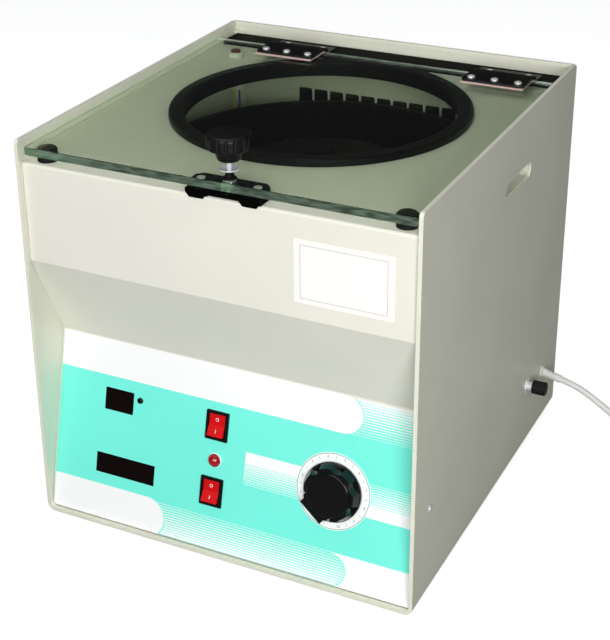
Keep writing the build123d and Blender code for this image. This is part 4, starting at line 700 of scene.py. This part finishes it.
@dataclass
class ControlPanel:
    """Printed film of the sloping panel and everything mounted on it."""

    label_low: float = 2.7
    label_high: float = 198.4
    label_half: float = 206.0
    film_out: float = 0.5
    ink: float = 0.06
    title_low: float = 159.9
    title_end: float = 117.1
    dial_centre: Point = (113.8, 99.3)
    dial_radius: float = 39.6
    dial_face: float = 1.3
    mark_ring: float = 35.4
    mark_count: int = 11
    mark_start: float = 225.0
    mark_sweep: float = 300.0
    rocker_centres: tuple[Point, Point] = ((-18.3, 135.4), (-18.6, 64.9))
    rocker_tilt: float = -10.0
    rocker_pivot_out: float = -0.5

    def build(self) -> None:
        """Dress the panel's pieces, then print the film, the dial and the rockers."""
        pairs = (("control_label", LABEL_FILM), ("panel_windows", WINDOW_DARK), ("board_modules", MATT_BLACK),
                 ("board_posts", INNER_STEEL), ("control_board", BOARD_GREEN), ("set_button", GLOSS_BLACK),
                 ("rocker_frames", GLOSS_BLACK), ("upper_rocker", ROCKER_RED), ("lower_rocker", ROCKER_RED),
                 ("pilot_ring", DIAL_WHITE), ("pilot_lens", LAMP_RED), ("dial_plate", DIAL_WHITE),
                 ("speed_knob", GLOSS_BLACK), ("regulator_body", COPPER_WIRE), ("regulator_shaft", INNER_STEEL))
        for node, finish in pairs:
            Bench.dress(node, finish)
        print_mesh = film("label_print", self._white_areas(), self.film_out - 0.02, self.film_out + self.ink,
                          PANEL.matrix())
        Bench.piece("label_print", print_mesh, "cabinet", "label_film", WHITE_INK)
        ring = annulus(self.dial_centre, self.dial_radius - 1.3, self.dial_radius - 0.7)
        marks = film("dial_marks", ring + self._ticks(), self.dial_face - 0.02, self.dial_face + self.ink,
                     PANEL.matrix())
        Bench.piece("dial_marks", marks, "cabinet", "dial_white", DIAL_INK)
        Bench.piece("dial_numbers", self._numbers(), "cabinet", "dial_white", DIAL_INK)
        for body, centre in zip(("rocker_a", "rocker_b"), self.rocker_centres):
            Bench.piece(f"{body}_marks", self._rocker_marks(body, centre), body, "rocker_red", WHITE_INK)

    def _bar(self, left: float, right: float, low: float, high: float) -> list[Point]:
        """One printed rectangle."""
        return [(left, low), (right, low), (right, high), (left, high)]

    def _white_areas(self) -> list[list[Point]]:
        """Outlines of the film's white bands, tabs and stripes.

        Returns:
            Closed outlines in panel millimetres.
        """
        half, low, high = self.label_half, self.label_low, self.label_high
        radius = (high - self.title_low) / 2
        middle = (self.title_end, self.title_low + radius)
        areas = [[(-half, high), (-half, self.title_low)] + arc(middle, radius, -90, 90)]
        tab = ((-92.1, 18.3), 21.4)
        drop = math.degrees(math.asin((low - tab[0][1]) / tab[1]))
        areas.append([(-half, 39.7), (-half, low)] + arc(tab[0], tab[1], drop, 90))
        end = ((117.9, 18.6), 17.6)
        drop = math.degrees(math.asin((low - end[0][1]) / end[1]))
        areas.append([(half, low), (half, 37.0), (end[0][0], 37.0)] + arc(end[0], end[1], 90, drop))
        areas += self._lower_stripes(tab, end)
        areas += self._middle_stripes()
        areas += self._upper_stripes(middle, radius)
        return areas

    def _lower_stripes(self, tab: tuple[Point, float], end: tuple[Point, float]) -> list[list[Point]]:
        """Lines between the two lower tabs, wider towards the bottom."""
        bars = []
        count, pitch = 13, 2.6
        for i in range(count):
            top = 37.0 - i * pitch
            wide = 0.4 + (pitch - 0.9) * i / (count - 1)
            low = max(self.label_low, top - wide)
            reach = max(0.0, tab[1] ** 2 - (top - tab[0][1]) ** 2) ** 0.5
            left = tab[0][0] + reach + 1.2
            inside = max(0.0, end[1] ** 2 - max(abs(top - end[0][1]), abs(low - end[0][1])) ** 2) ** 0.5
            if top - low > 0.2:
                bars.append(self._bar(left, end[0][0] + inside - 0.8, low, top))
        return bars

    def _middle_stripes(self) -> list[list[Point]]:
        """White bands on both sides of the dial, each fading into lines."""
        bars = []
        reach = self.dial_radius + 0.6

        def flank(low: float, high: float) -> float:
            off = max(abs(low - self.dial_centre[1]), abs(high - self.dial_centre[1]))
            return math.sqrt(max(0.0, reach ** 2 - off ** 2))

        pitch, count = 2.4, 9
        spans = [(103.2, 115.9)]
        spans += [(103.2 - pitch * (i + 1), 103.2 - pitch * (i + 1) + 1.75 - 0.17 * i) for i in range(count)]
        for low, high in spans:
            bars.append(self._bar(16.0, self.dial_centre[0] - flank(low, high), low, high))
            mirrored = (2 * self.dial_centre[1] - high - 1.0, 2 * self.dial_centre[1] - low - 1.0)
            bars.append(self._bar(self.dial_centre[0] + flank(*mirrored), self.label_half, *mirrored))
        return bars

    def _upper_stripes(self, middle: Point, radius: float) -> list[list[Point]]:
        """Lines right of the title band, thinner towards the bottom."""
        bars = []
        pitch, count = 2.75, 14
        for i in range(count):
            high = self.label_high - 1.0 - i * pitch
            low = high - (2.2 - 0.145 * i)
            off = min(abs(high - middle[1]), abs(low - middle[1]))
            left = middle[0] + math.sqrt(max(0.0, radius ** 2 - off ** 2)) + 0.8
            bars.append(self._bar(left, self.label_half, low, high))
        return bars

    def _mark_angle(self, index: int) -> float:
        """Direction of one dial mark, in degrees, clockwise from the low stop."""
        return self.mark_start - self.mark_sweep * index / (self.mark_count - 1)

    def _ticks(self) -> list[list[Point]]:
        """Short lines between the dial's numbers."""
        ticks = []
        for i in range(self.mark_count - 1):
            angle = math.radians(self._mark_angle(i) - self.mark_sweep / (self.mark_count - 1) / 2)
            along = Vector((math.cos(angle), math.sin(angle)))
            side = Vector((-along.y, along.x)) * 0.22
            near, far = along * 34.0, along * 36.4
            corners = (near - side, far - side, far + side, near + side)
            ticks.append([(self.dial_centre[0] + c.x, self.dial_centre[1] + c.y) for c in corners])
        return ticks

    def _numbers(self) -> bpy.types.Mesh:
        """Numbers 0 to 10 round the dial, as thin raised ink.

        Returns:
            One mesh that holds them all.
        """
        joined = bmesh.new()
        for i in range(self.mark_count):
            text = bpy.data.curves.new(f"number_{i}", "FONT")
            text.body = str(i)
            text.size = 4.4
            text.align_x = "CENTER"
            text.align_y = "CENTER"
            text.extrude = self.ink / 2
            text.resolution_u = 3
            carrier = bpy.data.objects.new(f"number_{i}", text)
            mesh = bpy.data.meshes.new_from_object(carrier)
            angle = self._mark_angle(i)
            spot = Vector((self.dial_centre[0] + self.mark_ring * math.cos(math.radians(angle)),
                           self.dial_centre[1] + self.mark_ring * math.sin(math.radians(angle)), self.dial_face))
            mesh.transform(PANEL.matrix() @ Matrix.Translation(spot))
            joined.from_mesh(mesh)
            bpy.data.objects.remove(carrier)
            bpy.data.curves.remove(text)
            bpy.data.meshes.remove(mesh)
        mesh = bpy.data.meshes.new("dial_numbers")
        joined.to_mesh(mesh)
        joined.free()
        return mesh

    def _rocker_marks(self, name: str, centre: Point) -> bpy.types.Mesh:
        """Ring and bar on a rocker's two halves.

        Args:
            name: the rocker's body.
            centre: the rocker's place on the panel.

        Returns:
            The marks, lying on the tilted faces.
        """
        joined = bmesh.new()
        slope = math.degrees(math.atan2(2.2, 11.5))
        pivot = PANEL.matrix() @ Matrix.Translation(Vector((centre[0], centre[1], self.rocker_pivot_out)))
        pivot = pivot @ Matrix.Rotation(math.radians(self.rocker_tilt), 4, "X")
        for side, outlines in ((1, annulus((0, 0), 1.3, 1.8, 24)), (-1, [self._bar(-0.3, 0.3, -1.8, 1.8)])):
            lift = Vector((0, side * 6.0, 2.4 + 6.0 * 2.2 / 11.5))
            axes = pivot @ Matrix.Translation(lift) @ Matrix.Rotation(math.radians(side * slope), 4, "X")
            mesh = film(f"{name}_mark", outlines, -0.02, self.ink, axes)
            joined.from_mesh(mesh)
            bpy.data.meshes.remove(mesh)
        mesh = bpy.data.meshes.new(f"{name}_marks")
        joined.to_mesh(mesh)
        joined.free()
        return mesh


@dataclass
class Lid:
    """Glass lid with its hinges, knob and keeper."""

    def build(self) -> None:
        """Dress the lid's pieces."""
        pairs = (("lid_glass", LID_GLASS), ("hinge_clamps", HINGE_PAINT), ("hinge_fixed_leaves", HINGE_PAINT),
                 ("hinge_gaskets", GASKET_PINK), ("hinge_pins", HINGE_STEEL), ("clamp_screws", BRIGHT_STEEL),
                 ("deck_screws", BRIGHT_STEEL), ("lid_stud", NICKEL), ("knob_washer", NICKEL),
                 ("glass_bush", SOFT_RUBBER), ("lid_knob", MATT_BLACK), ("latch_keeper", RAIL_PAINT),
                 ("lid_rail", RAIL_PAINT), ("lid_bumpers", SOFT_RUBBER))
        for node, finish in pairs:
            Bench.dress(node, finish)


@dataclass
class Chamber:
    """Bowl, edging, lid switch, rotor and drive."""

    def build(self) -> None:
        """Dress the pieces round and inside the chamber."""
        pairs = (("rim_edging", RING_RUBBER), ("bowl", BOWL_ENAMEL), ("bowl_posts", INNER_STEEL),
                 ("spindle_boot", SOFT_RUBBER), ("switch_body", SWITCH_WHITE), ("switch_plunger", PLUNGER_BROWN),
                 ("switch_wire_yellow", WIRE_YELLOW), ("switch_wire_blue", WIRE_BLUE), ("rotor_body", ROTOR_ALLOY),
                 ("rotor_nut", ROTOR_ALLOY), ("spindle", INNER_STEEL),
                 ("armature", INNER_STEEL), ("field_winding", COPPER_WIRE), ("motor_can", MOTOR_PAINT),
                 ("motor_end_bell", CAST_ALLOY), ("motor_bearings", BRIGHT_STEEL), ("motor_plate", INNER_STEEL),
                 ("motor_dampers", SOFT_RUBBER))
        for node, finish in pairs:
            Bench.dress(node, finish)


@dataclass
class MainsLead:
    """White mains cord with its strain relief, coil and plug, and the fuse beside it."""

    diameter: float = 0.007
    length: float = 1.83
    exit: tuple[float, float, float] = (0.23348, 0.168, 0.07301)
    route: tuple[tuple[float, float, float], ...] = (
        (0.23348, 0.168, 0.07301),
        (0.24913, 0.168, 0.06968),
        (0.2690, 0.1683, 0.0596),
        (0.2910, 0.1700, 0.0440),
        (0.3140, 0.1745, 0.0255),
        (0.3380, 0.1825, 0.0100),
        (0.3640, 0.1950, 0.0036),
        (0.3880, 0.2130, 0.0036),
        (0.4040, 0.2380, 0.0036),
        (0.4090, 0.2650, 0.0036),
    )
    turn_pitch: float = 0.0078
    turns_a_layer: int = 3
    mid_radius: float = 0.0385
    climb_step: float = 0.002
    lead_in: float = 0.007
    lead_out: float = 0.022
    points_a_turn: int = 16

    def build(self) -> None:
        """Lay the cord on its route and dress what goes with it."""
        for node, finish in (("cord_relief", CORD_WHITE), ("mains_plug", CORD_WHITE), ("fuse_holder", NICKEL),
                             ("fuse_cap", MATT_BLACK)):
            Bench.dress(node, finish)
        line = bpy.data.curves.new("cord_line", "CURVE")
        line.dimensions = "3D"
        line.bevel_depth = self.diameter / 2
        line.bevel_resolution = 5
        line.use_fill_caps = True
        points = list(self.route) + self._coil_points()
        spline = line.splines.new("NURBS")
        spline.points.add(len(points) - 1)
        for spot, place in zip(spline.points, points):
            spot.co = (*place, 1.0)
        spline.order_u = 3
        spline.use_endpoint_u = True
        spline.resolution_u = 6
        line.materials.append(CORD_WHITE.material())
        cord = bpy.data.objects.new("mains_lead", line)
        bpy.context.scene.collection.objects.link(cord)
        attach(cord, "cabinet")
        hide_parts("mains_cord", "cord_coil")
        LOG.info("laid the mains lead on %d points", len(points))

    def _coil_points(self) -> list[tuple[float, float, float]]:
        """Turns of the coil: in along the floor, up one layer, and out again.

        Returns:
            Points in metres, ending straight at the plug.
        """
        end, before = Vector(self.route[-1]), Vector(self.route[-2])
        heading = (end - before).normalized()
        left = Vector((-heading.y, heading.x, 0))
        outer = self.mid_radius + (self.turn_pitch * self.turns_a_layer + self.climb_step) / 2
        inner = outer - self.turn_pitch * self.turns_a_layer - self.climb_step
        start = end + heading * self.lead_in
        middle = start + left * outer
        swell = 1 / math.cos(math.pi / self.points_a_turn) ** 2
        total = 2 * self.turns_a_layer + 0.5
        steps = round(total * self.points_a_turn)
        points = [tuple(end + heading * self.lead_in * 0.4)]
        for i in range(1, steps):
            turn = i / self.points_a_turn
            radius, height = self._turn_place(turn, outer, inner)
            angle = 2 * math.pi * turn
            spot = middle + (heading * math.sin(angle) - left * math.cos(angle)) * radius * swell
            points.append((spot.x, spot.y, height))
        finish = middle + left * outer
        height = self.route[-1][2] + self.turn_pitch
        for along in (0.2, 1.0):
            spot = finish - heading * self.lead_out * along
            points.append((spot.x, spot.y, height))
        return points

    def _turn_place(self, turn: float, outer: float, inner: float) -> tuple[float, float]:
        """Radius and height after some turns.

        Args:
            turn: turns from the coil's start.
            outer: radius of the outermost turn.
            inner: radius of the inmost turn.

        Returns:
            The radius and the height, in metres.
        """
        low = self.route[-1][2]
        layer, climb = float(self.turns_a_layer), 0.5
        if turn <= layer:
            extra = max(0.0, turn - layer + 0.5) * 2 * self.climb_step
            return outer - self.turn_pitch * turn - extra, low
        if turn <= layer + climb:
            return inner, low + self.turn_pitch * (1 - math.cos(math.pi * (turn - layer) / climb)) / 2
        after = turn - layer - climb
        extra = min(0.5, after) * 2 * self.climb_step
        return inner + self.turn_pitch * after + extra, low + self.turn_pitch


@dataclass
class Studio:
    """Camera, lights, floor and background."""

    camera_at: tuple[float, float, float] = (0.6247, -1.3060, 0.9332)
    azimuth: float = 26.97
    elevation: float = 25.26
    roll: float = -0.86
    lens: float = 84.25
    shift: Point = (0.0391, -0.0938)
    lights: list[tuple[str, tuple[float, float, float], tuple[float, float, float], float, float]] = field(
        default_factory=lambda: [
            ("front_soft", (0.1, -2.5, 1.25), (0.0, -0.2, 0.2), 1.6, 32.0),
            ("top_soft", (-0.3, -0.2, 2.4), (0.0, 0.0, 0.4), 1.4, 11.0),
            ("right_front", (1.05, -1.5, 0.80), (0.15, -0.3, 0.25), 0.6, 17.5),
        ])

    def build(self) -> None:
        """Set up the studio round the model."""
        self._camera()
        self._floor()
        self._world()
        for name, place, target, size, power in self.lights:
            self._light(name, place, target, size, power)
        bpy.context.scene.view_settings.view_transform = "Standard"

    def _camera(self) -> None:
        """Camera at the photograph's place and framing."""
        data = bpy.data.cameras.new("camera")
        data.lens = self.lens
        data.sensor_width = 36.0
        data.shift_x, data.shift_y = self.shift
        data.clip_start, data.clip_end = 0.05, 50.0
        camera = bpy.data.objects.new("camera", data)
        bpy.context.scene.collection.objects.link(camera)
        camera.location = self.camera_at
        turn = Matrix.Rotation(math.radians(self.azimuth), 4, "Z")
        turn = turn @ Matrix.Rotation(math.radians(90 - self.elevation), 4, "X")
        turn = turn @ Matrix.Rotation(math.radians(self.roll), 4, "Z")
        camera.rotation_euler = turn.to_euler()
        bpy.context.scene.camera = camera

    def _floor(self) -> None:
        """Pale floor that shows white to the camera but keeps the shadow."""
        mesh = bpy.data.meshes.new("floor")
        net = bmesh.new()
        bmesh.ops.create_grid(net, x_segments=4, y_segments=4, size=6.0)
        net.to_mesh(mesh)
        net.free()
        floor = bpy.data.objects.new("floor", mesh)
        bpy.context.scene.collection.objects.link(floor)
        mesh.materials.append(self._floor_material())

    def _floor_material(self) -> bpy.types.Material:
        """Pale to the camera with the object's shadow on it, and dimmer as a source of bounced light."""
        made = bpy.data.materials.new("floor_white")
        made.use_nodes = True
        shader = made.node_tree.nodes["Principled BSDF"]
        shader.inputs["Roughness"].default_value = 0.9
        shader.inputs["Specular IOR Level"].default_value = 0.0
        desk = NodeDesk(made.node_tree)
        ray = desk.add("ShaderNodeLightPath")
        seen = desk.math("MAXIMUM", ray.outputs["Is Camera Ray"], ray.outputs["Is Transmission Ray"])
        desk.link(desk.mix(seen, (0.21, 0.21, 0.20, 1.0), (0.82, 0.82, 0.82, 1.0)), shader.inputs["Base Color"])
        white = desk.add("ShaderNodeEmission")
        white.inputs["Color"].default_value = (1.0, 1.0, 1.0, 1.0)
        desk.link(desk.math("MULTIPLY", seen, 0.69), white.inputs["Strength"])
        both = desk.add("ShaderNodeAddShader")
        desk.link(shader.outputs[0], both.inputs[0])
        desk.link(white.outputs[0], both.inputs[1])
        desk.link(both.outputs[0], made.node_tree.nodes["Material Output"].inputs["Surface"])
        return made

    def _world(self) -> None:
        """Even pale surroundings that show white to the camera and stay dim in reflections."""
        world = bpy.data.worlds.new("studio")
        bpy.context.scene.world = world
        world.use_nodes = True
        tree = world.node_tree
        desk = NodeDesk(tree)
        soft = tree.nodes["Background"]
        soft.inputs["Color"].default_value = (0.93, 0.96, 1.0, 1.0)
        plain = desk.add("ShaderNodeBackground")
        plain.inputs["Color"].default_value = (1.0, 1.0, 1.0, 1.0)
        plain.inputs["Strength"].default_value = 1.0
        ray = desk.add("ShaderNodeLightPath")
        level = desk.math("ADD", desk.math("MULTIPLY", ray.outputs["Is Diffuse Ray"], 0.22), 0.02)
        coords = desk.add("ShaderNodeTexCoord")
        split = desk.add("ShaderNodeSeparateXYZ")
        desk.link(coords.outputs["Generated"], split.inputs[0])
        low = desk.remap(split.outputs["Z"], 0.08, 0.28, 1.0, 0.0)
        through = desk.math("MULTIPLY", ray.outputs["Is Transmission Ray"], low)
        seen = desk.math("MAXIMUM", ray.outputs["Is Camera Ray"], through)
        desk.link(level, soft.inputs["Strength"])
        either = desk.add("ShaderNodeMixShader")
        desk.link(seen, either.inputs[0])
        desk.link(soft.outputs[0], either.inputs[1])
        desk.link(plain.outputs[0], either.inputs[2])
        desk.link(either.outputs[0], tree.nodes["World Output"].inputs["Surface"])

    def _light(self, name: str, place: Sequence[float], target: Sequence[float], size: float, power: float) -> None:
        """Square soft light.

        Args:
            name: the light's name.
            place: where it stands.
            target: where it points.
            size: side of its square.
            power: its watts.
        """
        data = bpy.data.lights.new(name, "AREA")
        data.size = size
        data.energy = power
        lamp = bpy.data.objects.new(name, data)
        bpy.context.scene.collection.objects.link(lamp)
        lamp.location = place
        aim = Vector(target) - Vector(place)
        lamp.rotation_euler = aim.to_track_quat("-Z", "Y").to_euler()


def main() -> None:
    """Build the studio and every sub-assembly."""
    logging.basicConfig(level=logging.INFO, format="%(message)s")
    assemblies: Sequence[Studio | MainsLead | Cabinet | ControlPanel | Lid | Chamber] = (
        Studio(), MainsLead(), Cabinet(), ControlPanel(), Lid(), Chamber())
    for assembly in assemblies:
        LOG.info("building %s", type(assembly).__name__)
        assembly.build()


if __name__ == "__main__":
    main()
